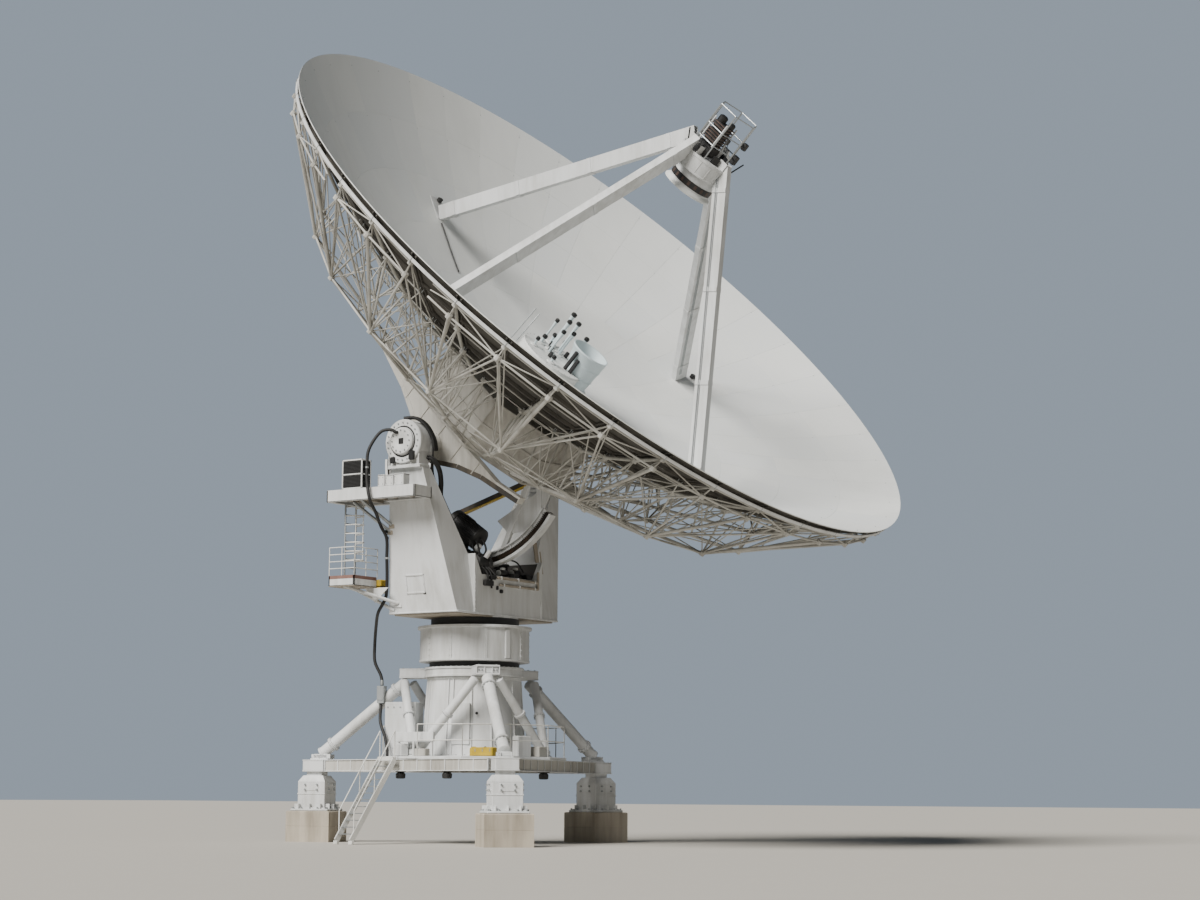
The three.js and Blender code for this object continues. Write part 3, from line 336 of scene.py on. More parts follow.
def grown(tree_name, host, paint, **inputs):
    """Runs a host mesh through a tree and returns the plain mesh that it gives."""
    tree, inputs = TREES[tree_name], {**inputs, "Material": PAINTS[paint]}
    holder = bpy.data.objects.new("host", host)
    bpy.context.scene.collection.objects.link(holder)
    modifier = holder.modifiers.new(tree_name, "NODES")
    modifier.node_group = tree
    for item in tree.interface.items_tree:
        if item.in_out == "INPUT" and item.name in inputs:
            modifier[item.identifier] = inputs[item.name]
    depsgraph = bpy.context.evaluated_depsgraph_get()
    made = bpy.data.meshes.new_from_object(holder.evaluated_get(depsgraph))
    holder.modifiers.remove(modifier)
    bpy.data.objects.remove(holder)
    return made


def round_bars(wires, paint, sides=8):
    """Round bars from (start, end, radius) triples."""
    host = bpy.data.meshes.new("wires")
    edges = [(2 * i, 2 * i + 1) for i in range(len(wires))]
    host.from_pydata([p for a, b, _ in wires for p in (a, b)], edges, [])
    thickness = host.attributes.new("thickness", "FLOAT", "POINT")
    thickness.data.foreach_set("value", [r for _, _, r in wires for _ in (0, 1)])
    return grown("round_bars", host, paint, Sides=sides)


def studs(places, radius, height, paint, sides=6):
    """Studs at (point, direction) pairs; half of each stands proud."""
    host = bpy.data.meshes.new("points")
    host.from_pydata([p for p, _ in places], [], [])
    out = host.attributes.new("out", "FLOAT_VECTOR", "POINT")
    out.data.foreach_set("vector", [c for _, d in places for c in Vector(d).normalized()])
    return grown("studs", host, paint, Radius=radius, Height=height, Sides=sides)


def slats(a, b, out, across, size, count, paint):
    """Slats along the line from a to b, with their flat side facing out and their length across."""
    host = bpy.data.meshes.new("row")
    host.from_pydata([a, b], [(0, 1)], [])
    for name, value in (("out", out), ("across", across)):
        stored = host.attributes.new(name, "FLOAT_VECTOR", "POINT")
        stored.data.foreach_set("vector", [*Vector(value).normalized()] * 2)
    return grown("slats", host, paint, Size=Vector(size), Count=count)


def piece(name, body, meshes, replaces=(), place=None, crease=35):
    """Joins meshes into one object that rides on a body, with its place in its mesh."""
    whole = bmesh.new()
    materials = []
    for made in meshes:
        own = list(made.materials)
        for material in own:
            if material not in materials:
                materials.append(material)
        before = len(whole.faces)
        whole.from_mesh(made)
        whole.faces.ensure_lookup_table()
        for face in whole.faces[before:]:
            face.material_index = materials.index(own[face.material_index])
    whole.transform(FRAMES[body] @ place if place else FRAMES[body])
    mesh = bpy.data.meshes.new(name)
    whole.to_mesh(mesh)
    whole.free()
    for material in materials:
        mesh.materials.append(material)
    mesh.polygons.foreach_set("use_smooth", [True] * len(mesh.polygons))
    mesh.set_sharp_from_angle(angle=math.radians(crease))
    made = bpy.data.objects.new(name, mesh)
    bpy.context.scene.collection.objects.link(made)
    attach(made, body)
    if replaces:
        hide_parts(*replaces)
    return made


# Materials


def linear(colour):
    """An sRGB hex colour as linear RGBA."""
    channels = [int(colour.lstrip("#")[i:i + 2], 16) / 255 for i in (0, 2, 4)]
    return (*(c / 12.92 if c <= 0.04045 else ((c + 0.055) / 1.055) ** 2.4 for c in channels), 1.0)


def surface(name, colour, stain, roughness, metallic=0.0, stains=0.4, rust=0.0, grain=0.02, streak=4.0):
    """A weathered surface: a coat with stains that run down it, rust in spots, and a fine grain.

    The stains are about 1 / streak metres wide, the grain is in metres, and stains and rust are shares of
    the area.
    """
    material = bpy.data.materials.new(name)
    material.use_nodes = True
    tree = material.node_tree
    shader = tree.nodes["Principled BSDF"]
    shader.inputs["Metallic"].default_value = metallic
    place = add(tree, "ShaderNodeTexCoord").outputs["Object"]
    down = add(
        tree, "ShaderNodeMapping", {"Vector": place, "Scale": (streak, streak, streak * 0.12)},
    ).outputs[0]
    runs = add(
        tree, "ShaderNodeTexNoise", {"Vector": down, "Scale": 1.0, "Detail": 5.0, "Roughness": 0.6},
    ).outputs[0]
    clouds = add(tree, "ShaderNodeTexNoise", {"Vector": place, "Scale": 0.45, "Detail": 3.0}).outputs[0]
    both = add(tree, "ShaderNodeMath", {0: runs, 1: clouds}, operation="MULTIPLY").outputs[0]
    amount = add(
        tree, "ShaderNodeMapRange",
        {"Value": both, "From Min": 0.18, "From Max": 0.42, "To Min": 0.0, "To Max": stains},
    ).outputs[0]
    coat = add(
        tree, "ShaderNodeMix", {0: amount, 6: linear(colour), 7: linear(stain)}, data_type="RGBA",
    ).outputs[2]
    if rust:
        spots = add(
            tree, "ShaderNodeTexNoise", {"Vector": place, "Scale": 5.5, "Detail": 8.0, "Roughness": 0.7},
        ).outputs[0]
        edge = 0.78 - 0.28 * rust
        share = add(
            tree, "ShaderNodeMapRange", {"Value": spots, "From Min": edge, "From Max": edge + 0.05},
        ).outputs[0]
        coat = add(
            tree, "ShaderNodeMix", {0: share, 6: coat, 7: linear("#7a4a2c")}, data_type="RGBA",
        ).outputs[2]
    tree.links.new(coat, shader.inputs["Base Color"])
    gloss = add(
        tree, "ShaderNodeMapRange", {"Value": runs, "To Min": roughness - 0.08, "To Max": roughness + 0.12},
    ).outputs[0]
    tree.links.new(gloss, shader.inputs["Roughness"])
    fine = add(tree, "ShaderNodeTexNoise", {"Vector": place, "Scale": 1 / grain, "Detail": 2.0}).outputs[0]
    bump = add(
        tree, "ShaderNodeBump", {"Height": fine, "Strength": 0.25, "Distance": grain * 0.15},
    ).outputs[0]
    tree.links.new(bump, shader.inputs["Normal"])
    return material


PAINTS = {}  # the materials by name, filled by make_paints


def make_paints():
    look = bpy.context.scene.telescope_paint
    white, stain = to_hex(look.white), to_hex(look.stain)
    PAINTS.update(
        # Gloss alkyd enamel brushed over steel plate: off-white, chalked, with grey runs below edges
        enamel=surface("white_enamel_on_steel", white, stain, 0.5, stains=0.55, rust=0.12),
        # The same enamel made darker and browner: painted shade on the hub under the dish and in the beams'
        # recessed webs, with dust and brown-grey runs
        hub_enamel=surface("dusty_enamel_with_painted_shade", "#bab8b1", "#858078", 0.6, stains=0.8, rust=0.2),
        # The same enamel on thin tubes, with rust at the ends of the welds
        tube_enamel=surface(
            "white_enamel_on_tube", "#d8d8d4", "#8b877d", 0.5, stains=0.7, rust=0.3, streak=1.5,
        ),
        # The same enamel on the lattice behind the dish: dulled by the weather, and darkened as painted shade
        # under the dish
        lattice_enamel=surface(
            "weathered_enamel_with_painted_shade", "#bdbcb6", "#6f6a60", 0.55, stains=0.75, rust=0.35, streak=1.5,
        ),
        # Matt white paint rolled on aluminium sheet: even and pale, with little shine
        panel=panel_paint("matt_paint_on_aluminium_panel", "#dcdedc", "#d5d8d8"),
        # The same paint on small parts without panels of their own
        panel_plain=surface("matt_paint_on_aluminium", "#dcdedc", "#b4b6b4", 0.55, stains=0.3, grain=0.03),
        # The unpainted back of the panels and their stiffeners: oxidised and dull, made dark grey as painted
        # shade under the dish
        panel_back=surface(
            "mill_aluminium_panel_back", "#4a4741", "#252320", 0.7, metallic=0.15, stains=0.8, grain=0.05,
        ),
        # Gel-coated glass fibre of the big horn: a cool, even off-white with a soft shine
        horn=surface("gel_coated_glass_fibre", "#c9d6da", "#a9b8bd", 0.42, stains=0.35, grain=0.02),
        # Brown baked enamel on the slats and clips at the apex; also a painted highlight on the elevation
        # motor
        brown=surface("brown_enamel_on_slats", "#4d3b33", "#2e2522", 0.55, stains=0.6, rust=0.2),
        # Cast concrete: grey-buff, rough, with damp at its foot
        concrete=surface("cast_concrete", "#b3aa9b", "#7d7466", 0.92, stains=0.8, grain=0.012, streak=2.5),
        # Black baked enamel on the machines: nearly black, half matt, dusty; also painted shade in the gaps
        # round the turntable and at the pedestal's neck, and on a band round the subreflector's barrel
        black=surface("black_enamel_on_castings", "#141517", "#2d2c2a", 0.45, stains=0.5, grain=0.01),
        # The same black, darker still: painted shade deep in the louvres, matt with dust
        louvre=surface("black_enamel_in_louvres", "#050506", "#101010", 0.75, stains=0.3, grain=0.01),
        # Old gear grease over steel: dark brown, with a wet shine
        grease=surface("greased_steel", "#26221d", "#4b3a28", 0.35, metallic=0.4, stains=0.6, grain=0.01),
        # Hot-dip galvanised steel: mid grey, mottled
        zinc=surface(
            "galvanised_steel", "#a9adae", "#83878a", 0.42, metallic=0.75, stains=0.6, grain=0.03, streak=12,
        ),
        # Ochre safety enamel, faded
        ochre=surface("ochre_enamel_on_steel", "#b89b22", "#7f681f", 0.5, stains=0.5, rust=0.25),
        # Enamel made nearly black: painted shade on undersides by the drive, under the hub and in the notch,
        # with a film of grease and soot
        grime=surface(
            "greasy_enamel_with_painted_shade", "#3a3733", "#5e5548", 0.45, stains=0.9, rust=0.45, grain=0.012,
        ),
        # The white enamel made darker and browner: painted shade where no sky reaches it, with dust and
        # grease
        shade=surface("dusty_enamel_in_shade", "#a39a8c", "#6f675c", 0.6, stains=0.8, rust=0.25),
        # Red-brown primer showing through on bare brackets
        primer=surface("red_oxide_primer", "#7d5d54", "#5f473f", 0.7, stains=0.6, rust=0.4),
        # Vulcanised rubber cable sheath: black, soft sheen
        rubber=surface("rubber_cable_sheath", "#1a1a1b", "#33322f", 0.62, stains=0.4, grain=0.008),
        # Matt emulsion on the studio's floor: pale, even and dry
        floor=surface("painted_studio_floor", "#b8b4ac", "#b2aea5", 0.8, stains=0.2, grain=0.2),
    )


def panel_paint(name, colour, tint):
    """Paint on panels: each panel's own shade is stored in its 'shade' attribute."""
    material = surface(name, colour, "#b4b6b4", 0.58, stains=0.25, grain=0.03, streak=0.8)
    tree = material.node_tree
    shader = tree.nodes["Principled BSDF"]
    coat = shader.inputs["Base Color"].links[0].from_socket
    shade = add(tree, "ShaderNodeAttribute", attribute_name="shade").outputs["Fac"]
    mixed = add(tree, "ShaderNodeMix", {0: shade, 6: coat, 7: linear(tint)}, data_type="RGBA").outputs[2]
    tree.links.new(mixed, shader.inputs["Base Color"])
    return material


def to_hex(colour):
    """The hex colour of three sRGB shares."""
    return "#" + "".join(f"{round(255 * c):02x}" for c in colour)


# Settings


def metres(name, default, description):
    return FloatProperty(name=name, default=default, description=description, unit="LENGTH")


class PaintSettings(bpy.types.PropertyGroup):
    white: FloatVectorProperty(
        name="White enamel", description="sRGB colour of the painted steel",
        default=(0.832, 0.841, 0.844), size=3, subtype="COLOR_GAMMA", min=0, max=1,
    )
    stain: FloatVectorProperty(
        name="Stain", description="sRGB colour of the grey runs on the painted steel",
        default=(0.62, 0.615, 0.59), size=3, subtype="COLOR_GAMMA", min=0, max=1,
    )


class DishSettings(bpy.types.PropertyGroup):
    focal_length: metres("Focal length", 9.0, "Focal length of the paraboloid")
    panel_gap: metres("Panel gap", 0.005, "Open joint between two panels")
    chord_radius: metres("Chord radius", 0.055, "Radius of the ribs' main tubes")
    brace_radius: metres("Brace radius", 0.034, "Radius of the bracing tubes")
    fine_radius: metres("Fine brace radius", 0.022, "Radius of the thinnest tubes")


class YokeSettings(bpy.types.PropertyGroup):
    rail_height: metres("Rail height", 1.05, "Height of the handrails over their deck")
    hoop_spacing: metres("Hoop spacing", 0.3, "From one hoop of the ladder's cage to the next")
    louvres: IntProperty(name="Louvres", description="Slats in each louvre panel", default=9)


class BaseSettings(bpy.types.PropertyGroup):
    ring_bolts: IntProperty(name="Ring bolts", description="Bolts around the pedestal ring", default=48)
    bolt_radius: metres("Bolt radius", 0.032, "Radius of the structural bolt heads")


class StageSettings(bpy.types.PropertyGroup):
    lens: FloatProperty(name="Lens", description="Focal length of the camera", default=74.0, unit="CAMERA")
    key: FloatProperty(name="Key light", description="Strength of the key light", default=6.6)
    fill: FloatProperty(name="Fill light", description="Strength of the studio's own light", default=0.13)
    backdrop: FloatProperty(
        name="Backdrop", description="Brightness of the studio behind the dish", default=0.55,
    )


# Stage


class STAGE_OT_studio(bpy.types.Operator):
    """Sets up the camera, the pale floor and the soft light"""

    bl_idname = "telescope.studio"
    bl_label = "Studio"

    # The photograph's viewpoint in the mount frame, where it looks, and how far it leans
    eye = (50.89, -68.09, 1.6)
    heading = (-0.5577, 0.830)
    pitch = 8.0
    roll = 0.35
    sees = 2000  # how far the camera sees
    floor_reach = 400
    floor_heights = (-0.2, -0.002)
    sun_from = (-0.03, -0.74, 0.67)
    sun_width = 30  # in degrees: a large soft source
    warm_white = (1.0, 0.97, 0.92)

    def execute(self, context):
        settings = context.scene.telescope_stage
        data = bpy.data.cameras.new("camera")
        data.sensor_width = 36
        data.lens = settings.lens
        data.clip_end = self.sees
        camera = bpy.data.objects.new("camera", data)
        context.scene.collection.objects.link(camera)
        level = Vector((*self.heading, 0)).normalized()
        pitch = math.radians(self.pitch)
        view = level * math.cos(pitch) + UP * math.sin(pitch)
        aim = view.to_track_quat("-Z", "Y").to_matrix().to_4x4()
        camera.matrix_world = MOUNT @ at(*self.eye) @ aim @ turn(self.roll)
        context.scene.camera = camera

        r = self.floor_reach
        floor = Shape().loft([[(-r, -r, z), (r, -r, z), (r, r, z), (-r, r, z)] for z in self.floor_heights])
        ground = bpy.data.objects.new("studio_floor", floor.mesh("floor"))
        context.scene.collection.objects.link(ground)

        sun = bpy.data.lights.new("key", "SUN")
        sun.energy = settings.key
        sun.angle = math.radians(self.sun_width)
        sun.color = self.warm_white
        key = bpy.data.objects.new("key", sun)
        key.matrix_world = facing((0, 0, 0), self.sun_from)
        context.scene.collection.objects.link(key)

        world = bpy.data.worlds.new("studio")
        world.use_nodes = True
        back = world.node_tree.nodes["Background"]
        back.inputs["Color"].default_value = linear("#c3d2e2")
        seen = add(world.node_tree, "ShaderNodeLightPath").outputs["Is Camera Ray"]
        strength = add(
            world.node_tree, "ShaderNodeMapRange",
            {"Value": seen, "To Min": settings.fill, "To Max": settings.backdrop},
        ).outputs[0]
        world.node_tree.links.new(strength, back.inputs["Strength"])
        context.scene.world = world
        return {"FINISHED"}


# Dish


class DISH_OT_panels(bpy.types.Operator):
    """Lays the reflector's panels in six rings, with open joints and stiffeners behind"""

    bl_idname = "telescope.panels"
    bl_label = "Reflector panels"

    step = 3.0  # degrees of arc to one facet
    rows = 4
    thickness = 0.03
    rib_depth = 0.1
    rib_width = 0.05
    rib_wall = 0.004
    rib_span = 4.5  # degrees of arc to one length of channel
    shares = (0.22, 0.78)  # of the way across a ring of panels, where its ring channels run

    def panel(self, shape, shades, inner, outer, start, end, shade):
        gap = bpy.context.scene.telescope_dish.panel_gap / 2
        columns = max(2, round((end - start) / self.step))
        front, back = [], []
        for i in range(columns + 1):
            for j in range(self.rows + 1):
                radius = inner + gap + (outer - inner - 2 * gap) * j / self.rows
                trim = math.degrees(gap / radius)
                angle = start + trim + (end - start - 2 * trim) * i / columns
                height = paraboloid(radius)
                front.append(on_dish(radius, angle, height))
                back.append(on_dish(radius, angle, height - self.thickness))
        n = self.rows + 1
        layer = len(front)
        faces = []
        for i in range(columns):
            for j in range(self.rows):
                a, b, c, d = i * n + j, (i + 1) * n + j, (i + 1) * n + j + 1, i * n + j + 1
                faces += [(a, b, c, d), (layer + a, layer + d, layer + c, layer + b)]
            a, b = i * n, (i + 1) * n
            faces += [(a, layer + a, layer + b, b)]
            a, b = i * n + self.rows, (i + 1) * n + self.rows
            faces += [(a, b, layer + b, layer + a)]
        for j in range(self.rows):
            a, b = j, j + 1
            faces += [(a, b, layer + b, layer + a)]
            a, b = columns * n + j, columns * n + j + 1
            faces += [(a, layer + a, layer + b, b)]
        shape.add(front + back, faces)
        shades += [shade] * (2 * layer)

    def stiffeners(self, shape, inner, outer, start, end):
        """Two ring channels and two radial ones behind a panel."""
        drop = self.thickness - 0.003 + self.rib_depth / 2
        inset = math.degrees(0.04 / inner)
        count = max(1, round((end - start) / self.rib_span))
        for share in self.shares:
            radius = inner + (outer - inner) * share
            stops = [
                on_dish(
                    radius, start + inset + (end - start - 2 * inset) * k / count, paraboloid(radius) - drop,
                )
                for k in range(count + 1)
            ]
            for p, q in zip(stops, stops[1:]):
                shape.bar(p, q, self.rib_width, self.rib_depth, chamfer=self.rib_wall)
        for angle in (start + 2 * inset, end - 2 * inset):
            third = (outer - inner) / 3
            radii = (inner + 0.05, inner + third, inner + (outer - inner) / 1.5, outer - 0.05)
            stops = [on_dish(r, angle, paraboloid(r) - drop + 0.012) for r in radii]
            for p, q in zip(stops, stops[1:]):
                shape.bar(p, q, self.rib_width, self.rib_depth - self.thickness, chamfer=self.rib_wall)

    def execute(self, context):
        shade = random.Random(7)
        for quarter in range(4):
            skin, backs, shades = Shape(), Shape(), []
            for inner, outer, count in zip(PANEL_RADII, PANEL_RADII[1:], PANEL_COUNTS):
                width = 360 / count
                for k in range(count // 4):
                    start = quarter * 90 + k * width
                    self.panel(skin, shades, inner, outer, start, start + width, shade.random())
                    self.stiffeners(backs, inner, outer, start, start + width)
            mesh = skin.mesh("panel")
            mesh.materials.append(PAINTS["panel_back"])
            stored = mesh.attributes.new("shade", "FLOAT", "POINT")
            stored.data.foreach_set("value", shades)
            # Faces that look down take the dark back paint: the unpainted backs, made dark as painted shade
            for face in mesh.polygons:
                face.material_index = 0 if face.normal.dot(UP) > -0.3 else 1
            number = quarter + 1
            meshes, quarters = [mesh, backs.mesh("panel_back")], [f"reflector_quarter_{number}"]
            piece(f"reflector_panels_{number}", "dish", meshes, quarters)
        return {"FINISHED"}


class DISH_OT_back_structure(bpy.types.Operator):
    """Builds the ribs, rings and fans of tubes behind the reflector"""

    bl_idname = "telescope.back_structure"
    bl_label = "Back structure"

    # Where a rib's chords have their joints: radius, and for the lower one the height over the vertex
    lower = ((12.15, None), (10.7, None), (9.2, 0.35), (7.6, -0.35), (6.1, -1.0), (4.5, -1.64), (3.0, -2.25))
    rings = (12.3, 10.75, 8.9, 7.0, 5.1)
    upper = (*rings, 3.2)
    rim_depth = 0.6
    hub_flat = 2.86
    gusset = (0.1, 0.14)  # radius and height of the balls at the joints
    channel = (0.04, 0.1)
    adjuster_radius = 0.014
    shortest = 0.05

    def top(self, radius, angle):
        return on_dish(radius, angle, paraboloid(radius) - CHORD_DROP)

    def bottom(self, index, angle):
        radius, height = self.lower[index]
        if index == 0:
            height = paraboloid(radius) - self.rim_depth
        elif index == 1:
            outer = paraboloid(self.lower[0][0]) - self.rim_depth
            share = (radius - self.lower[2][0]) / (self.lower[0][0] - self.lower[2][0])
            height = self.lower[2][1] + (outer - self.lower[2][1]) * share
        return on_dish(radius, angle, height)

    def rib(self, angle, chord, brace, fine):
        """One radial truss: two chords and the webs between them."""
        tops = [self.top(r, angle) for r in self.upper]
        lows = [self.bottom(i, angle) for i in range(len(self.lower))]
        wires = [(a, b, chord) for a, b in zip(tops, tops[1:])]
        wires += [(a, b, chord) for a, b in zip(lows, lows[1:])]
        wires += [(tops[i], lows[i], fine if i < 2 else brace) for i in range(6)]
        for i, j, size in (
            (0, 1, fine), (1, 2, brace), (2, 3, fine), (3, 4, brace), (4, 5, fine), (2, 4, fine),
            (4, 6, brace),
        ):
            wires.append((tops[i], lows[j], size))
        return wires

    def bay(self, angle, brace, fine):
        """What ties a rib to the next: rings, the fan to the rim, and the crossed braces."""
        half, following = angle + 180 / RIBS, angle + 360 / RIBS
        rim = [self.top(self.rings[0], a) for a in (angle, half, following)]
        rim_low = [self.bottom(0, a) for a in (angle, half, following)]
        wires = [(line[i], line[i + 1], brace) for line in (rim, rim_low) for i in (0, 1)]
        wires += [(rim[i], rim_low[1], fine) for i in (1, 0, 2)]
        for radius in self.rings[1:]:
            middle = self.top(radius, half)
            wires += [(self.top(radius, angle), middle, fine), (middle, self.top(radius, following), fine)]
        # Joists under the panels' middle joints
        joists = [self.top(r, half) for r in self.rings[:4]]
        wires += [(a, b, fine) for a, b in zip(joists, joists[1:])]
        # The fan from each knee
        for knee in (self.bottom(2, angle), self.bottom(2, following)):
            wires.append((knee, rim_low[1], brace))
            wires += [(knee, joists[i], fine) for i in (1, 2, 0)]
        # Rings along the lower chord, and the crossed braces between them
        for index, size in ((2, brace), (4, brace), (6, fine)):
            wires.append((self.bottom(index, angle), self.bottom(index, following), size))
        for inner, outer in ((4, 2), (6, 4)):
            wires.append((self.bottom(inner, angle), self.bottom(outer, following), fine))
            wires.append((self.bottom(outer, angle), self.bottom(inner, following), fine))
        for radius in self.rings[3:]:
            wires += [(self.bottom(4, a), self.top(radius, half), fine) for a in (angle, following)]
        return wires

    def outside_hub(self, wire):
        """The part of a bar that stands outside the hub's eight sides, or nothing."""
        a, b, radius = wire
        for k in range(8):
            n = vec(math.cos(k * math.pi / 4), math.sin(k * math.pi / 4), 0)
            da, db = a.dot(n) - self.hub_flat, b.dot(n) - self.hub_flat
            if da <= 0 and db <= 0:
                continue
            if da > 0 and db > 0:
                return wire
            cut = da / (da - db)
            if da > 0:
                return (a, a.lerp(b, cut), radius)
            return (a.lerp(b, cut), b, radius)
        return None

    def rim_channel(self, shape, angle):
        """The white channel that runs round under the panels' outer edge."""
        radius, steps = 12.4, 6
        height = paraboloid(radius) - 0.2
        stops = [on_dish(radius, angle + 360 / RIBS * k / steps, height) for k in range(steps + 1)]
        for a, b in zip(stops, stops[1:]):
            shape.bar(a, b, *self.channel, chamfer=0.004)

    def joints(self, angle):
        """The gusset balls where a rib's tubes meet."""
        half = angle + 180 / RIBS
        spots = [self.top(r, angle) for r in self.rings] + [self.bottom(i, angle) for i in (0, 2, 4)]
        spots += [self.bottom(0, half), self.top(self.rings[0], half)]
        return [(spot, UP) for spot in spots]

    def adjusters(self, angle):
        """Threaded studs from the chords up to the panels' corners."""
        wires = []
        for a, radii in ((angle, self.rings), (angle + 180 / RIBS, self.rings[:4])):
            for radius in radii:
                foot = self.top(radius, a)
                for side in (-0.12, 0.12):
                    start = foot + (on_dish(radius + side, a, 0) - on_dish(radius, a, 0))
                    wires.append((start, start + vec(0, 0, CHORD_DROP - 0.06), self.adjuster_radius))
        return wires

    def execute(self, context):
        settings = context.scene.telescope_dish
        sizes = (settings.chord_radius, settings.brace_radius, settings.fine_radius)
        for quarter in range(4):
            wires, places, thin, rim = [], [], [], Shape()
            for k in range(RIBS // 4):
                angle = quarter * 90 + k * 360 / RIBS
                wires += self.rib(angle, *sizes) + self.bay(angle, *sizes[1:])
                places += self.joints(angle)
                thin += self.adjusters(angle)
                self.rim_channel(rim, angle)
            kept = [w for w in map(self.outside_hub, wires) if w and (w[1] - w[0]).length > self.shortest]
            number = quarter + 1
            # The lattice tubes and gussets take a darker enamel: painted shade under the dish
            meshes = [
                round_bars(kept, "lattice_enamel"),
                studs(places, *self.gusset, "lattice_enamel", 8),
                round_bars(thin, "zinc", 5),
                rim.mesh("enamel"),
            ]
            piece(f"back_structure_{number}", "dish", meshes, [f"lattice_quarter_{number}"])
        return {"FINISHED"}


class DISH_OT_hub(bpy.types.Operator):
    """Plates the hub and its brackets: seams, flanges, bolts and a hatch"""

    bl_idname = "telescope.hub"
    bl_label = "Hub plating"

    apothem = 2.8
    top = VERTEX - 0.45
    bracket = ((0.43, -0.38), (1.4, 0.22), (2.4, 0.62), (4.1, 1.04))  # its lower edge, out from the axis
    bracket_face = 2.7
    bolts = 9  # along each edge of a side

    def execute(self, context):
        seams, rust, places = Shape(), Shape(), []
        flat, bottom, top = self.apothem, HUB_BOTTOM, self.top
        for k in range(8):
            side = turn(45 * k)
            edge = flat * math.tan(math.pi / 8)
            for y in (-edge, -edge / 3, edge / 3):
                seams.box((flat - 0.01, y - 0.03, bottom), (flat + 0.035, y + 0.03, top), side)
            for z in (bottom, (bottom + top) / 2, top - 0.09):
                seams.box((flat - 0.01, -edge, z), (flat + 0.05, edge, z + 0.09), side)
            for i in range(self.bolts):
                y = -edge + 2 * edge * (i + 0.5) / self.bolts
                places += bolt_grid((flat + 0.05,), (y,), (bottom + 0.045, top - 0.045), (1, 0, 0), side)
        for sign in (-1, 1):
            inner = 2.36 if sign > 0 else -2.74
            for mirror in (-1, 1):
                edge = [vec(mirror * x, 0, z) for x, z in self.bracket]
                for a, b in zip(edge, edge[1:]):
                    up = vec(0, 1, 0)
                    # On the bracket's lower side the edge bars take the near-black paint: painted shade under
                    # the bracket's edge
                    shape = rust if mirror > 0 else seams
                    middle, face_y = up * (inner + 0.18), up * sign * (self.bracket_face + 0.002)
                    shape.bar(a + middle, b + middle, 0.012, 0.29, up=up, chamfer=0.003)
                    into = up.cross(b - a).normalized()
                    into = into * 0.08 if into.z > 0 else into * -0.08
                    shape.bar(a + face_y + into, b + face_y + into, 0.16, 0.012, up=up, chamfer=0.003)
            face = sign * self.bracket_face
            for x in (-2.0, -1.0, 0.0, 1.0, 2.0):
                low = 0.5 if abs(x) > 1.5 else 0.28
                seams.box((x - 0.025, face - 0.03, low), (x + 0.025, face + 0.03, 0.98))
            seams.turned([(0.52, 0), (0.52, 0.05), (0.42, 0.07)], facing((0, face, 0), (0, sign, 0)), 32)
            places += [
                (vec(0.46 * math.cos(a), face + sign * 0.06, 0.46 * math.sin(a)), (0, sign, 0))
                for a in (2 * math.pi * i / 12 for i in range(12))
            ]
        # A hatch with its frame in the hub's floor
        seams.box((-0.5, -1.6, bottom - 0.03), (0.5, -0.7, bottom + 0.01))
        # The hub's seams and bolts take a darker enamel: painted shade under the dish, with dust
        meshes = [seams.mesh("hub_enamel"), rust.mesh("grime"), studs(places, 0.025, 0.03, "hub_enamel")]
        piece("hub_plating", "dish", meshes)
        return {"FINISHED"}


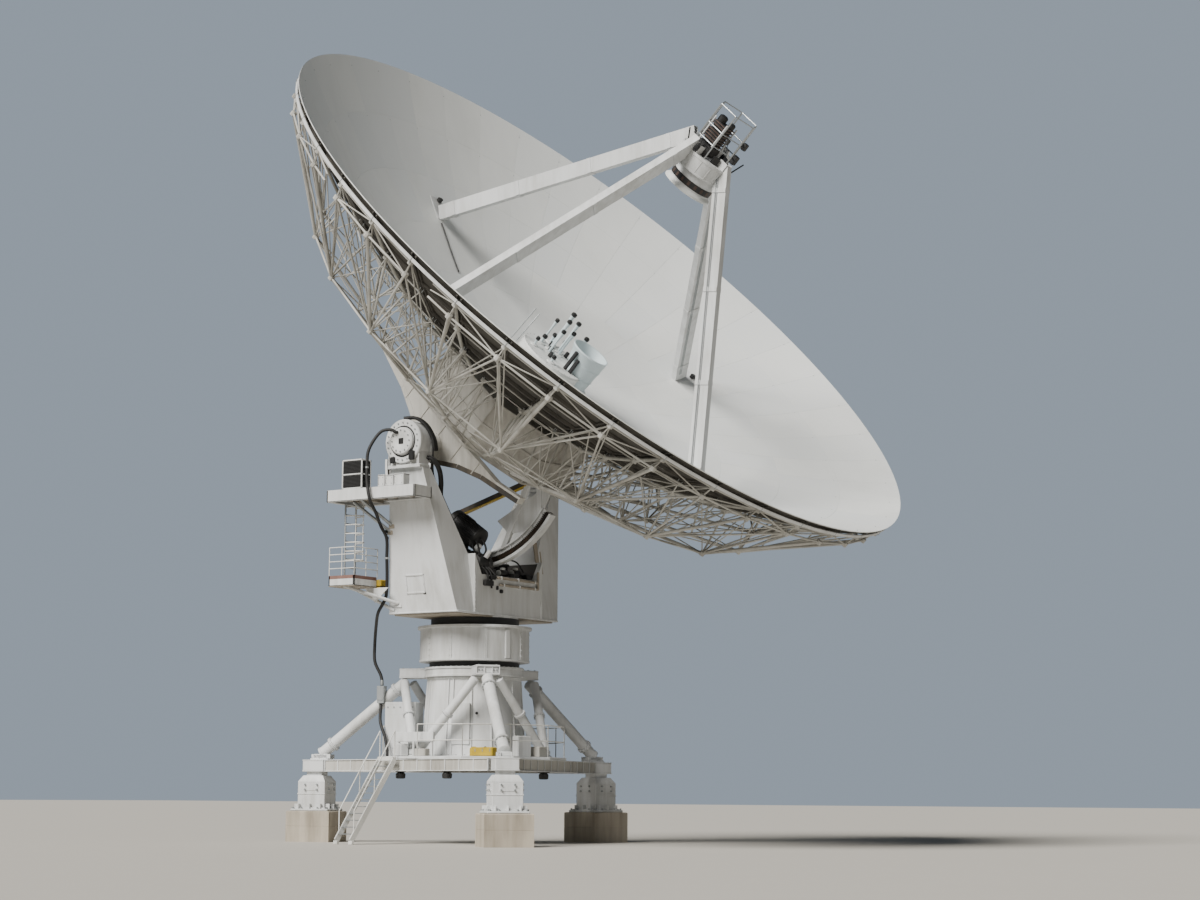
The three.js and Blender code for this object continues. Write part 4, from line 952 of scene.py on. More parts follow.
class DISH_OT_gear(bpy.types.Operator):
    """Cuts the elevation gear: a toothed sector, its flanges, spokes and web"""

    bl_idname = "telescope.gear"
    bl_label = "Elevation gear"

    radius = 3.97
    depth = 0.5
    pitch = 1.1  # degrees from one tooth to the next
    start, end = 133, 280
    spokes = ((-2.45, 136), (-1.5, 160), (2.43, 180.5), (2.26, 245), (2.75, 276))
    web = ((2.3, 1.0), (2.95, 1.0), (3.58, 0.3), (3.56, -0.26), (3.2, -1.45), (2.95, -1.1))

    def on_gear(self, radius, degrees, y=0.0):
        angle = math.radians(degrees)
        return vec(-radius * math.sin(angle), y, radius * math.cos(angle))

    def arc(self, shape, inner, outer, y0, y1, steps=72):
        """A band of the sector between two radii, as a chain of blocks that share their ends."""
        loops = []
        for i in range(steps + 1):
            degrees = self.start + (self.end - self.start) * i / steps
            loops.append([
                self.on_gear(inner, degrees, y0), self.on_gear(outer, degrees, y0),
                self.on_gear(outer, degrees, y1), self.on_gear(inner, degrees, y1),
            ])
        shape.loft(loops)

    def execute(self, context):
        plate, teeth, spokes = Shape(), Shape(), Shape()
        inner = self.radius - self.depth
        self.arc(plate, inner, self.radius - 0.04, -0.03, 0.03)
        self.arc(plate, inner, inner + 0.05, -0.12, 0.12)
        self.arc(plate, self.radius - 0.1, self.radius - 0.005, -0.15, 0.15)
        count = int((self.end - self.start) / self.pitch)
        for y0, y1 in ((0.03, 0.16), (-0.16, -0.03)):
            self.arc(teeth, self.radius - 0.24, self.radius - 0.13, y0, y1)
        for i in range(count):
            degrees = self.start + self.pitch * (i + 0.5)
            a = self.on_gear(self.radius - 0.29, degrees)
            b = self.on_gear(self.radius - 0.235, degrees)
            for y in (-0.095, 0.095):
                lift = vec(0, y, 0)
                teeth.bar(a + lift, b + lift, 0.035, 0.13, up=(0, 1, 0), chamfer=0.006)
            if i % 8 == 2:
                a = self.on_gear(inner + 0.03, degrees)
                b = self.on_gear(self.radius - 0.3, degrees)
                plate.bar(a, b, 0.03, 0.2, up=(0, 1, 0), chamfer=0.005)
        top = HUB_BOTTOM + 0.03
        for i, (x, degrees) in enumerate(self.spokes):
            foot = self.on_gear(inner + 0.03, degrees)
            head = vec(x, 0, top)
            # The third spoke takes the near-black paint: painted shade under the hub, with grease
            shape = spokes if i == 2 else plate
            shape.bar(head, foot, 0.18, 0.16, up=(0, 1, 0))
            plate.bar(head + (foot - head) * 0.02, head + (foot - head) * 0.06, 0.3, 0.24, up=(0, 1, 0))
        edge = Shape()
        head, foot = vec(self.spokes[2][0], 0, top), self.on_gear(inner + 0.03, self.spokes[2][1])
        across = (foot - head).cross(vec(0, 1, 0)).normalized() * 0.1
        if across.x < 0:
            across = -across
        edge.bar(head + across, foot + across, 0.2, 0.03, up=across)
        web = Shape().plate([(x, -z) for x, z in self.web], 0.05, turn(90, "X") @ at(0, 0, -0.025))
        meshes = [
            plate.mesh("enamel"), teeth.mesh("grease"), spokes.mesh("grime"),
            edge.mesh("ochre"), web.mesh("enamel"),
        ]
        piece("elevation_gear_sector", "dish", meshes, ["elevation_gear"])
        return {"FINISHED"}


class DISH_OT_apex(bpy.types.Operator):
    """Builds the apex: the ring on the legs, the cage, the equipment and the subreflector"""

    bl_idname = "telescope.apex"
    bl_label = "Apex"

    ring = (9.25, 9.79)
    lid = 9.85
    cage_radius = 0.76
    cage = (9.85, 10.35, 10.85, 11.57)
    rack_shift = -0.2
    can_shift = 0.11

    def shell(self):
        low, high, lid = (VERTEX + z for z in (*self.ring, self.lid))
        shell = Shape().turned([
            (0.92, low), (0.96, low), (0.96, low + 0.05), (0.945, low + 0.06), (0.945, high - 0.04),
            (0.96, high - 0.03), (0.96, lid), (0.3, lid), (0.3, high), (0.92, high),
        ], None, 64, closed=True)
        shell.turned([(0.31, high + 0.01), (0.31, lid - 0.005)], None, 32)
        for k in range(16):
            shell.box((0.94, -0.012, low + 0.05), (0.956, 0.012, high - 0.03), turn(22.5 * k + 9))
        for k in range(4):
            for y in (-0.16, 0.16):
                shell.box((0.6, y - 0.012, lid - 0.01), (0.94, y + 0.012, lid + 0.28), turn(90 * k))
        return shell

    def cage_wires(self):
        wires = []
        rows = [[turn(60 * k) @ vec(self.cage_radius, 0, VERTEX + z) for k in range(6)] for z in self.cage]
        for k in range(6):
            wires.append((rows[0][k], rows[3][k], 0.026))
            wires += [(rows[row][k], rows[row][(k + 1) % 6], 0.02) for row in (1, 2, 3)]
        wires.append((rows[0][1], rows[2][2], 0.014))
        wires.append((rows[3][0], rows[3][0] + vec(0, 0, 0.03), 0.012))
        return wires

    def rack(self):
        v, lid, shift = VERTEX, VERTEX + self.lid, self.rack_shift
        posts, dark = Shape(), Shape()
        dark.box((shift - 0.3, -0.3, lid), (shift + 0.3, 0.3, v + 10.2))
        dark.box((shift - 0.24, -0.24, v + 10.2), (shift + 0.24, 0.24, v + 11.02))
        for x, y in ((-0.3, -0.3), (0.3, -0.3), (0.3, 0.3), (-0.3, 0.3)):
            posts.box((shift + x - 0.025, y - 0.025, v + 10.2), (shift + x + 0.025, y + 0.025, v + 11.1))
        dark.turned([(0.16, v + 11.02), (0.16, v + 11.2), (0.1, v + 11.245)], at(shift - 0.14, -0.1, 0), 20)
        dark.turned([(0.12, v + 11.02), (0.12, v + 11.15), (0.08, v + 11.19)], at(shift + 0.17, 0.12, 0), 20)
        for angle, radius, size in ((15, 0.6, 0.15), (75, 0.62, 0.12), (285, 0.6, 0.15), (330, 0.66, 0.12)):
            dark.box(
                (radius - size / 2, -size, lid), (radius + size / 2, size, lid + 2.2 * size),
                turn(angle),
            )
        for x, y, z, size in (
            (-0.35, -0.86, 9.9, 0.09), (0.1, -0.9, 10.02, 0.07), (0.55, 0.62, 10.8, 0.08),
            (0.7, 0.35, 10.3, 0.1), (0.62, -0.5, 10.75, 0.06), (-0.7, 0.1, 10.5, 0.08),
        ):
            z0, z1 = v + z - 1.6 * size, v + z + 1.6 * size
            dark.box((x - size, y - size, z0), (x + size, y + size, z1), None, 0.02)
        for a, b in (
            ((-0.35, -0.86), (-0.55, -1.05)), ((0.1, -0.9), (0.2, -1.15)), ((0.8, 0.5), (0.95, 0.6)),
        ):
            dark.tube((*a, v + 9.85), (*b, v + 10.35), 0.025, 8)
        grille = slats(
            (shift, 0, v + 10.27), (shift, 0, v + 10.97), UP, (1, 0, 0), (0.58, 0.58, 0.035), 8, "brown",
        )
        return [posts.mesh("enamel"), dark.mesh("black"), grille]

    def execute(self, context):
        v = VERTEX
        bolts = [(turn(15 * k) @ vec(0.93, 0, v + self.lid), UP) for k in range(24)]
        meshes = [
            self.shell().mesh("enamel"), round_bars(self.cage_wires(), "zinc"),
            studs(bolts, 0.018, 0.03, "zinc"), *self.rack(),
        ]
        piece("apex_cage", "dish", meshes, ["apex_frame"])

        place = at(self.can_shift, 0, 0)
        barrel = Shape().turned([
            (0.6, v + 8.72), (0.78, v + 8.72), (0.78, v + 8.76), (0.765, v + 8.77), (0.765, v + 9.3),
            (0.78, v + 9.31), (0.78, v + 9.36), (0.76, v + 9.37), (0.76, v + 9.78), (0.6, v + 9.78),
        ], place, 64)
        # A black band round the barrel: painted shade under the mirror's rim
        band = Shape().collar(0.7, 0.779, v + 8.78, v + 9.0, place, 64)
        clips = Shape()
        for k in range(18):
            clips.box((0.76, -0.05, v + 8.82), (0.784, 0.05, v + 8.96), place @ turn(20 * k), 0.006)
        meshes = [barrel.mesh("enamel"), band.mesh("black"), clips.mesh("brown")]
        piece("subreflector_barrel", "dish", meshes, ["subreflector_can"])

        face, sag, edge, wide = 8.44, 0.13, 8.64, 0.88
        shares = (0.01, 0.2, 0.4, 0.6, 0.75, 0.88, 0.97, 1.0)
        profile = [(wide * s, v + face + sag * s * s) for s in shares]
        profile += [(wide, v + edge - 0.01), (wide - 0.01, v + edge), (0.78, v + 8.717)]
        mirror = Shape().turned(profile, place, 72)
        piece("subreflector_mirror", "dish", [mirror.mesh("panel_plain")], ["subreflector"])
        return {"FINISHED"}


class DISH_OT_leg_fittings(bpy.types.Operator):
    """Adds the legs' foot brackets, joints, clamps and conduits"""

    bl_idname = "telescope.leg_fittings"
    bl_label = "Leg fittings"

    foot_radius = 7.5
    head = (0.93, 9.9)
    shift = vec(-0.15, 0, 0)  # the apex stands a little up the dish
    width, depth = 0.25, 0.52

    def execute(self, context):
        fittings, conduits, dark = Shape(), [], Shape()
        for k in range(4):
            angle = 90 * k
            a = on_dish(self.foot_radius, angle, paraboloid(self.foot_radius) + 0.06)
            b = on_dish(self.head[0], angle, self.head[1]) + self.shift
            inward = (on_dish(0, angle, 0) - on_dish(1, angle, 0)).normalized()
            along = (b - a).normalized()
            side = along.cross(inward).normalized()
            over = side.cross(along)
            if over.dot(inward) < 0:
                over = -over
            for share in (0.06, 0.33, 0.62, 0.93):
                middle = a.lerp(b, share)
                for sign in (-1, 1):
                    p, reach = middle + side * sign * (self.width / 2 + 0.012), over * self.depth * 0.5
                    fittings.bar(p - reach, p + reach, 0.02, 0.16, up=along)
                q = middle + over * (self.depth / 2 + 0.01)
                fittings.bar(q - side * 0.13, q + side * 0.13, 0.02, 0.16, up=along)
            pad = on_dish(self.foot_radius + 0.25, angle, paraboloid(self.foot_radius + 0.25) + 0.012)
            slope = (on_dish(8.2, angle, paraboloid(8.2)) - on_dish(7.2, angle, paraboloid(7.2))).normalized()
            fittings.bar(pad - slope * 0.5, pad + slope * 0.45, 0.5, 0.02)
            dark.box((-0.07, -0.09, 0), (0.07, 0.09, 0.16), facing(pad + slope * 0.28 + side * 0.16, UP))
            offset = side * (self.width / 2 + 0.02) + over * 0.12
            start, end = a.lerp(b, 0.03) + offset, a.lerp(b, 0.97) + offset
            conduits += [(start, end, 0.018), (start - over * 0.06, end - over * 0.06, 0.014)]
        # A thin dark pipe that lies on the panels, down from the foot of the upper leg
        dark.pipe([(x, y, VERTEX + paraboloid(math.hypot(x, y)) + 0.035)
                   for x, y in ((-7.1, -0.15), (-6.4, -0.2), (-5.7, -0.28), (-5.1, -0.35))], 0.03, 8)
        meshes = [fittings.mesh("enamel"), round_bars(conduits, "zinc"), dark.mesh("black")]
        piece("leg_fittings", "dish", meshes)
        return {"FINISHED"}


class DISH_OT_feeds(bpy.types.Operator):
    """Builds the feeds around the vertex: the big horn, the small ones and the rods"""

    bl_idname = "telescope.feeds"
    bl_label = "Feeds"

    top = 1.15  # of the housing, over the vertex
    horn_place = (0.84, 0.74)
    lean = (-0.09, -0.105)
    # Each small feed: place, height of its dark mouth, radius
    small = (
        (-0.72, -0.08, 1.36, 0.11), (-0.88, 0.62, 1.42, 0.11), (-0.14, -0.2, 2.0, 0.1),
        (-0.9, 0.2, 1.98, 0.09), (-0.39, 0.1, 2.3, 0.11), (-0.78, 0.64, 2.42, 0.12),
        (-0.39, 0.63, 2.32, 0.11), (-0.07, 1.12, 2.0, 0.11), (-0.16, 0.41, 2.02, 0.1),
        (-0.45, -0.75, 1.35, 0.09), (0.5, -0.7, 1.3, 0.1), (-0.6, 0.95, 1.4, 0.08),
    )
    mouth = ((0.7, 0), (0.85, 0.02), (0.85, 0.1), (0.6, 0.13))  # shares of a small feed's radius, and heights
    lip = ((-0.02, 0), (0.012, 0), (0.018, 0.03), (-0.02, 0.03))  # of a ring on the big horn
    rods = (((-1.0, -1.35), (-1.16, -0.92), 2.15), ((-0.85, -1.25), (-1.08, -0.66), 2.0))

    def execute(self, context):
        v = VERTEX
        deck = v + self.top
        trim, dark, pale, wires = Shape(), Shape(), Shape(), []
        trim.collar(1.2, 1.252, deck - 0.09, deck - 0.06, None, 64)
        clips = [(turn(12 * k) @ vec(1.19, 0, deck), UP) for k in range(30) if not 27 < 12 * k < 57]
        for x, y, height, radius in self.small:
            mouth = v + height
            pale.turned(
                [
                    (radius * 0.4, deck), (radius * 0.42, mouth - 0.3 * (height - self.top)),
                    (radius * 0.7, mouth),
                ],
                at(x, y, 0), 20,
            )
            dark.turned([(radius * share, mouth + z) for share, z in self.mouth], at(x, y, 0), 20)
            trim.turned(
                [(radius * 1.5, deck), (radius * 1.5, deck + 0.03), (radius * 0.7, deck + 0.05)], at(x, y, 0),
                20,
            )
        for (x0, y0), (x1, y1), height in self.rods:
            wires.append((vec(x0, y0, v + 0.062), vec(x1, y1, v + height), 0.022))
        for x, y, high in (
            (-0.25, -0.05, 0.2), (-0.6, 0.35, 0.2), (-0.1, 0.75, 0.22), (0.15, -0.45, 0.2),
            (0.72, -0.1, 0.75), (0.9, 0.0, 0.55),
        ):
            dark.box((x - 0.06, y - 0.05, deck), (x + 0.06, y + 0.05, deck + high))
        meshes = [
            trim.mesh("panel_plain"), dark.mesh("black"), pale.mesh("horn"),
            round_bars(wires, "zinc"), studs(clips, 0.02, 0.02, "zinc"),
        ]
        piece("small_feeds", "dish", meshes)

        height = 2.03 - 0.7
        lean = Matrix.Identity(4)
        lean[0][2], lean[1][2] = self.lean
        place = at(*self.horn_place, v + 0.7003) @ lean
        horn = Shape().turned([
            (0.48, 0), (0.48, 0.05), (0.44, 0.06), (0.46, 0.1), (0.56, 0.62), (0.69, height - 0.06),
            (0.7, height - 0.05), (0.7, height), (0.655, height), (0.64, height - 0.06), (0.5, height - 0.55),
            (0.2, height - 0.7),
        ], place, 64)
        rings = Shape()
        for z, radius in ((0.4, 0.522), (0.86, 0.612)):
            rings.turned([(radius + out, z + up) for out, up in self.lip], place, 64, closed=True)
        piece("big_feed_horn", "dish", [horn.mesh("horn"), rings.mesh("horn")], ["feed_horn"])
        return {"FINISHED"}


# Yoke


def arm_half_depth(z):
    return YOKE_HALF_DEPTH - ARM_TAPER * (z - YOKE_BOTTOM) / ARM_RISE


def arm_outside(z):
    return YOKE_HALF_WIDTH + ARM_FLARE * (z - YOKE_BOTTOM) / ARM_RISE


def arm_inside(z):
    return SADDLE_HALF_WIDTH + ARM_LEAN * (z - SADDLE_TOP)


def bolt_ring(place, radius, count, start=0.0):
    """Bolts on a circle around the +Z of a frame, each a point and the direction it stands out in."""
    out = place.to_3x3() @ UP
    return [(place @ polar(radius, start + 360 * k / count), out) for k in range(count)]


def bolt_grid(xs, ys, zs, out, place=None):
    """Bolts at every combination of the coordinates in a frame, all standing out the same way."""
    place = place or Matrix.Identity(4)
    out = place.to_3x3() @ Vector(out)
    return [(place @ vec(x, y, z), out) for x in xs for y in ys for z in zs]


def handrail(path, height, radius=0.018, spacing=1.3):
    """Posts, a middle rail and a top rail along a path of points on a floor."""
    wires = []
    for a, b in zip(path, path[1:]):
        a, b = Vector(a), Vector(b)
        count = max(1, round((b - a).length / spacing))
        posts = [a.lerp(b, k / count) for k in range(count + 1)]
        wires += [(foot, foot + vec(0, 0, height), radius) for foot in posts]
        for share in (0.5, 1.0):
            rise = vec(0, 0, height * share)
            wires.append((a + rise, b + rise, radius))
    return wires


class YOKE_OT_plating(bpy.types.Operator):
    """Adds the yoke's seams, flanges, hatches, boxes and pipes"""

    bl_idname = "telescope.yoke_plating"
    bl_label = "Yoke plating"

    def execute(self, context):
        seams, dark, shade, grime, places = Shape(), Shape(), Shape(), Shape(), []
        for face in (-1, 1):
            x = face * YOKE_HALF_DEPTH
            for side in (-1, 1):
                y = side * 1.93
                seams.box((x - 0.02, y - 0.045, 7.66), (x + 0.02, y + 0.045, 8.95))
                places += bolt_grid(
                    (x + face * 0.02,), (y,), [7.8 + 0.15 * k for k in range(8)], (face, 0, 0),
                )
            x0, x1 = sorted((x, x + face * 0.03))
            seams.box((x0, -YOKE_HALF_WIDTH, YOKE_BOTTOM), (x1, YOKE_HALF_WIDTH, YOKE_BOTTOM + 0.06))
        # The flange under the whole yoke, and the plates' edges along the arms
        for side in (-1, 1):
            y = side * YOKE_HALF_WIDTH
            seams.box((-1.44, y - 0.04, YOKE_BOTTOM), (1.44, y + 0.04, YOKE_BOTTOM + 0.05))
            for face in (-1, 1):
                for start, width, sunk, across in (
                    (7.7, 0.045, 0.02, lambda z: arm_outside(z) - 0.005),
                    (9.8, 0.04, 0.016, lambda z: arm_inside(z) + 0.02),
                ):
                    ends = (start, ARM_HEAD - 0.02)
                    foot, head = (vec(face * (arm_half_depth(z) - sunk), side * across(z), z) for z in ends)
                    seams.bar(foot, head, width, 0.03, up=(0, 1, 0), chamfer=0.004)
        # The yoke's underside in the darker enamel and a black band round the turntable: painted shade in the
        # gap over the azimuth housing
        shade.box((-1.3, -2.8, 7.6), (1.3, 2.8, 7.652))
        dark.collar(1.46, 1.51, 7.37, 7.6, None, 72)
        # The hatches on the arms' outer faces, and two small brackets on the near one
        for side in (-1, 1):
            z = 8.62
            place = facing((-0.19, side * arm_outside(z), z), (0, side * ARM_RISE, -ARM_FLARE))
            for low, high in (
                ((-0.4, -0.33), (-0.34, 0.33)), ((0.34, -0.33), (0.4, 0.33)),
                ((-0.4, -0.33), (0.4, -0.27)), ((-0.4, 0.27), (0.4, 0.33)),
            ):
                seams.box((*low, -0.01), (*high, 0.028), place)
            places += [(place @ vec(x, y, 0.028), place.to_3x3() @ UP)
                       for x in (-0.37, 0, 0.37) for y in (-0.3, 0, 0.3) if x or y]
            dark.box((0.3, -0.36, -0.005), (0.42, -0.3, 0.02), place)
        place = facing((-1.13, -arm_outside(10.25), 10.25), (0, -ARM_RISE, -ARM_FLARE))
        for y in (-0.12, 0.1):
            dark.box((-0.05, y, -0.01), (0.05, y + 0.1, 0.09), place)
        # Boxes and pipes on the saddle's face
        x = YOKE_HALF_DEPTH
        for y0, y1, z0, z1, depth in (
            (-1.5, -1.05, 8.62, 8.8, 0.14), (-1.15, -0.85, 8.85, 8.98, 0.1), (-0.55, -0.42, 8.42, 8.55, 0.08),
            (-0.75, -0.66, 8.52, 8.66, 0.06),
        ):
            dark.box((x - 0.02, y0, z0), (x + depth, y1, z1), None, 0.02)
        for z, y0, y1 in ((8.93, -0.75, 1.62), (8.7, -0.6, 1.62)):
            shade.tube((x + 0.06, y0, z), (x + 0.06, y1, z), 0.045)
            for y in (y0 + 0.2, (y0 + y1) / 2, y1 - 0.2):
                seams.box((x - 0.02, y - 0.03, z - 0.06), (x + 0.115, y + 0.03, z + 0.06))
        shade.tube((x + 0.06, 1.62, 8.68), (x + 0.06, 1.62, 9.3), 0.045)
        # The tray and boxes on the far arm's face
        for y0, y1, z0, z1, depth in ((1.98, 2.18, 9.1, 10.4, 0.06), (2.3, 2.36, 9.3, 10.1, 0.04)):
            a, b = vec(arm_half_depth(z0), (y0 + y1) / 2, z0), vec(arm_half_depth(z1), (y0 + y1) / 2, z1)
            shade.bar(a, b, y1 - y0, depth, up=(1, 0, 0))
        # Dark plates in the notch, its floor and the foot of its two slopes: painted shade under the dish,
        # with grease
        grime.box((-1.3, -1.55, 8.99), (1.3, 1.55, 9.012))
        for side in (-1, 1):
            a, b = vec(0, side * arm_inside(9.03), 9.03), vec(0, side * arm_inside(9.62), 9.62)
            grime.bar(a, b, 2.5, 0.02, up=(0, side * 0.868, -0.497), chamfer=0.004)
        meshes = [
            seams.mesh("enamel"), dark.mesh("black"), shade.mesh("shade"),
            grime.mesh("grime"), studs(places, 0.022, 0.03, "enamel"),
        ]
        piece("yoke_plating", "yoke", meshes)
        return {"FINISHED"}


class YOKE_OT_drive(bpy.types.Operator):
    """Builds the elevation drive in the notch: two casings, the pinion, and the finned motor"""

    bl_idname = "telescope.drive"
    bl_label = "Elevation drive"

    near, far = -0.62, 0.7  # ends of the casings along X
    inner, outer = 0.26, 1.05
    floor = SADDLE_TOP + AIR
    gland = (0.9, -1.33, 9.2197)
    motor = ((-0.38, -0.76, 11.02), (0.76, -0.76, 10.23))
    radius = 0.4

    def casings(self):
        body, trim, places = Shape(), Shape(), []
        for side in (-1, 1):
            y0, y1 = sorted((side * self.inner, side * self.outer))
            body.box((self.near, y0, self.floor), (self.far, y1, 9.12), None, 0.03)
            body.box((self.near + 0.04, y0 + 0.03, 9.1), (self.far - 0.04, y1 - 0.03, 9.5), None, 0.05)
            body.box((self.near + 0.01, y0, 9.46), (self.far - 0.01, y1, 9.56), None, 0.02)
            body.box((self.near + 0.06, y0 + 0.04, 9.54), (self.far - 0.06, y1 - 0.04, 9.9), None, 0.12)
            for k in range(5):
                x = self.near + 0.14 + 0.25 * k
                body.box((x, y0 + 0.005, 9.1), (x + 0.03, y1 - 0.005, 9.48))
            for x in (self.near, self.far - 0.03):
                for y in (y0 + 0.2, y1 - 0.2):
                    body.box((x + 0.002, y - 0.015, 9.1), (x + 0.028, y + 0.015, 9.8))
            for x, z, size in ((-0.3, 9.33, 0.14), (0.3, 9.33, 0.14), (0.04, 9.72, 0.11)):
                face = facing((x, side * (self.outer - 0.05), z), (0, side, 0))
                trim.turned([(size, 0), (size, 0.03), (size * 0.6, 0.05)], face, 24)
                places += bolt_ring(face @ at(z=0.03), size * 0.8, 6)
            xs, ys = (self.near + 0.04, self.far - 0.04), (y0 + 0.05, (y0 + y1) / 2, y1 - 0.05)
            places += bolt_grid(xs, ys, (9.56,), UP)
        return body, trim, places

    def execute(self, context):
        self.gearbox()
        self.motor_on_neck()
        return {"FINISHED"}

    def gearbox(self):
        body, trim, places = self.casings()
        pale, hoses = Shape(), Shape()
        body.box((self.near, -self.inner - 0.02, self.floor), (self.near + 0.18, self.inner + 0.02, 9.09))
        gx, gy, gz = self.gland
        body.box((self.far - 0.02, gy - 0.135, self.floor), (gx + 0.135, -0.87, gz), None, 0.03)
        body.box((gx - 0.135, gy - 0.135, self.floor), (gx + 0.135, gy + 0.135, gz), None, 0.03)
        trim.turned([(0.12, 0), (0.12, 0.05), (0.1, 0.09)], at(gx, gy, gz - 0.09), 20)
        # Auxiliary motors and boxes along the saddle's front edge, and the hoses that hang over it
        for x, y, z, length, radius in (
            (1.02, -0.62, 9.2, 0.55, 0.15), (1.05, 0.15, 9.16, 0.5, 0.13), (1.0, 0.95, 9.2, 0.45, 0.15),
        ):
            motor = facing((x, y - length / 2, z), (0, 1, 0))
            can = ((0.8, 0), (1, 0.04), (1, length - 0.12), (0.8, length - 0.08), (0.7, length))
            body.turned([(radius * share, z) for share, z in can], motor, 24)
            pale.turned([(radius * 0.82, -0.03), (radius * 0.82, 0.0), (radius * 0.5, 0.01)], motor, 20)
            body.box((x - radius * 0.7, y - 0.18, 9.0), (x + radius * 0.7, y + 0.12, z), None, 0.02)
            pale.box(
                (x - 0.05, y - 0.1, z + radius - 0.01), (x + 0.07, y + 0.06, z + radius + 0.07), None, 0.01,
            )
        worm = facing((0.98, -1.5, 9.42), (0, 1, 0))
        body.turned([
            (0.2, 0), (0.3, 0.04), (0.3, 0.2), (0.26, 0.22), (0.26, 0.6), (0.3, 0.62), (0.3, 0.78),
            (0.2, 0.82), (0.12, 1.0),
        ], worm, 28)
        body.box((0.72, -1.4, 9.0), (1.24, -0.78, 9.4), None, 0.03)
        pale.turned([(0.12, -0.06), (0.12, 0.0), (0.08, 0.02)], worm, 20)
        pale.tube((1.2, -1.05, 9.6), (1.3, -0.95, 9.84), 0.08, 16)
        pale.tube((0.75, -1.0, 9.9), (0.9, -1.0, 10.05), 0.11, 16)
        for x, y in ((0.45, -0.95), (0.6, -0.75), (0.3, -1.05)):
            hoses.pipe(
                [(x, y, 10.35), (x + 0.3, y - 0.1, 10.25), (x + 0.5, y - 0.15, 9.9), (1.0, y - 0.2, 9.65)],
                0.035, 8,
            )
        for y, size in ((-1.2, 0.16), (0.55, 0.13), (1.3, 0.15)):
            body.box((1.1, y - size, 9.0), (1.36, y + size, 9.0 + 1.3 * size), None, 0.02)
        steel = Shape()
        for x in (-0.28, 0.36):
            steel.tube((x, -self.inner - 0.01, 9.16), (x, self.inner + 0.01, 9.16), 0.06, 16)
            steel.turned([(0.12, -0.1), (0.12, 0.1)], facing((x, 0, 9.16), (0, 1, 0)), 18)
        for k, (x, y, z) in enumerate(
            ((0.55, -1.0, 9.75), (-0.45, -1.0, 9.7), (0.5, 1.0, 9.75), (0.1, -1.02, 9.3))
        ):
            end = vec(0.86, -1.25 + 0.05 * k, 9.2) if y < 0 else vec(0.95, 1.5, 9.3)
            middle = vec(x, y, z).lerp(end, 0.5) + vec(0.1, 0, 0.12)
            hoses.pipe([vec(x, y, z), middle, end], 0.028, 8)
        for y, drop in ((-1.3, 8.7), (-1.1, 8.55), (-0.9, 8.9)):
            hoses.pipe(
                [(0.9, y, 9.2), (1.2, y - 0.05, 9.3), (1.46, y, 9.05), (1.49, y + 0.02, drop)], 0.035, 8,
            )
        meshes = [
            body.mesh("black"), trim.mesh("grease"), steel.mesh("grease"),
            hoses.mesh("rubber"), studs(places, 0.02, 0.03, "zinc"), pale.mesh("enamel"),
        ]
        piece("elevation_gearbox", "yoke", meshes, ["elevation_drive"])

    def motor_on_neck(self):
        a, b = Vector(self.motor[0]), Vector(self.motor[1])
        length, place = (b - a).length, facing(a, b - a)
        r = self.radius
        casing, pale = Shape(), Shape()
        casing.turned([
            (0.3, 0), (r, 0.02), (r, 0.22), (r - 0.03, 0.24), (r - 0.03, length - 0.16), (r, length - 0.15),
            (r, length - 0.06), (r - 0.1, length), (0.05, length),
        ], place, 36)
        for k in range(30):
            casing.box((r - 0.04, -0.01, 0.25), (r, 0.01, length - 0.16), place @ turn(12 * k), 0.003)
        casing.turned([(0.28, 9.9003), (0.28, 9.96), (0.2, 9.98), (0.2, 10.7)], at(0, -0.76, 0), 28)
        # A brown strip on the motor's upper flank: a painted highlight
        pale.box((0.1, 0.02, 0.3), (0.14, 0.12, 0.75), place @ turn(60) @ at(0.27, 0, 0), 0.01)
        fan = bolt_ring(place @ at(z=0.005) @ turn(180, "X"), 0.22, 10)
        pale.turned(
            [(0.09, 0), (0.09, 0.06), (0.03, 0.1)], facing((0.7, -0.76, 9.905), UP) @ at(-0.1, 0, 0), 16,
        )
        meshes = [
            casing.mesh("black"), pale.mesh("brown"), studs(fan, 0.03, 0.012, "grease", 8),
            studs(bolt_ring(at(0, -0.76, 9.96), 0.24, 8), 0.02, 0.03, "zinc"),
        ]
        piece("elevation_motor_finned", "yoke", meshes, ["elevation_motor"])


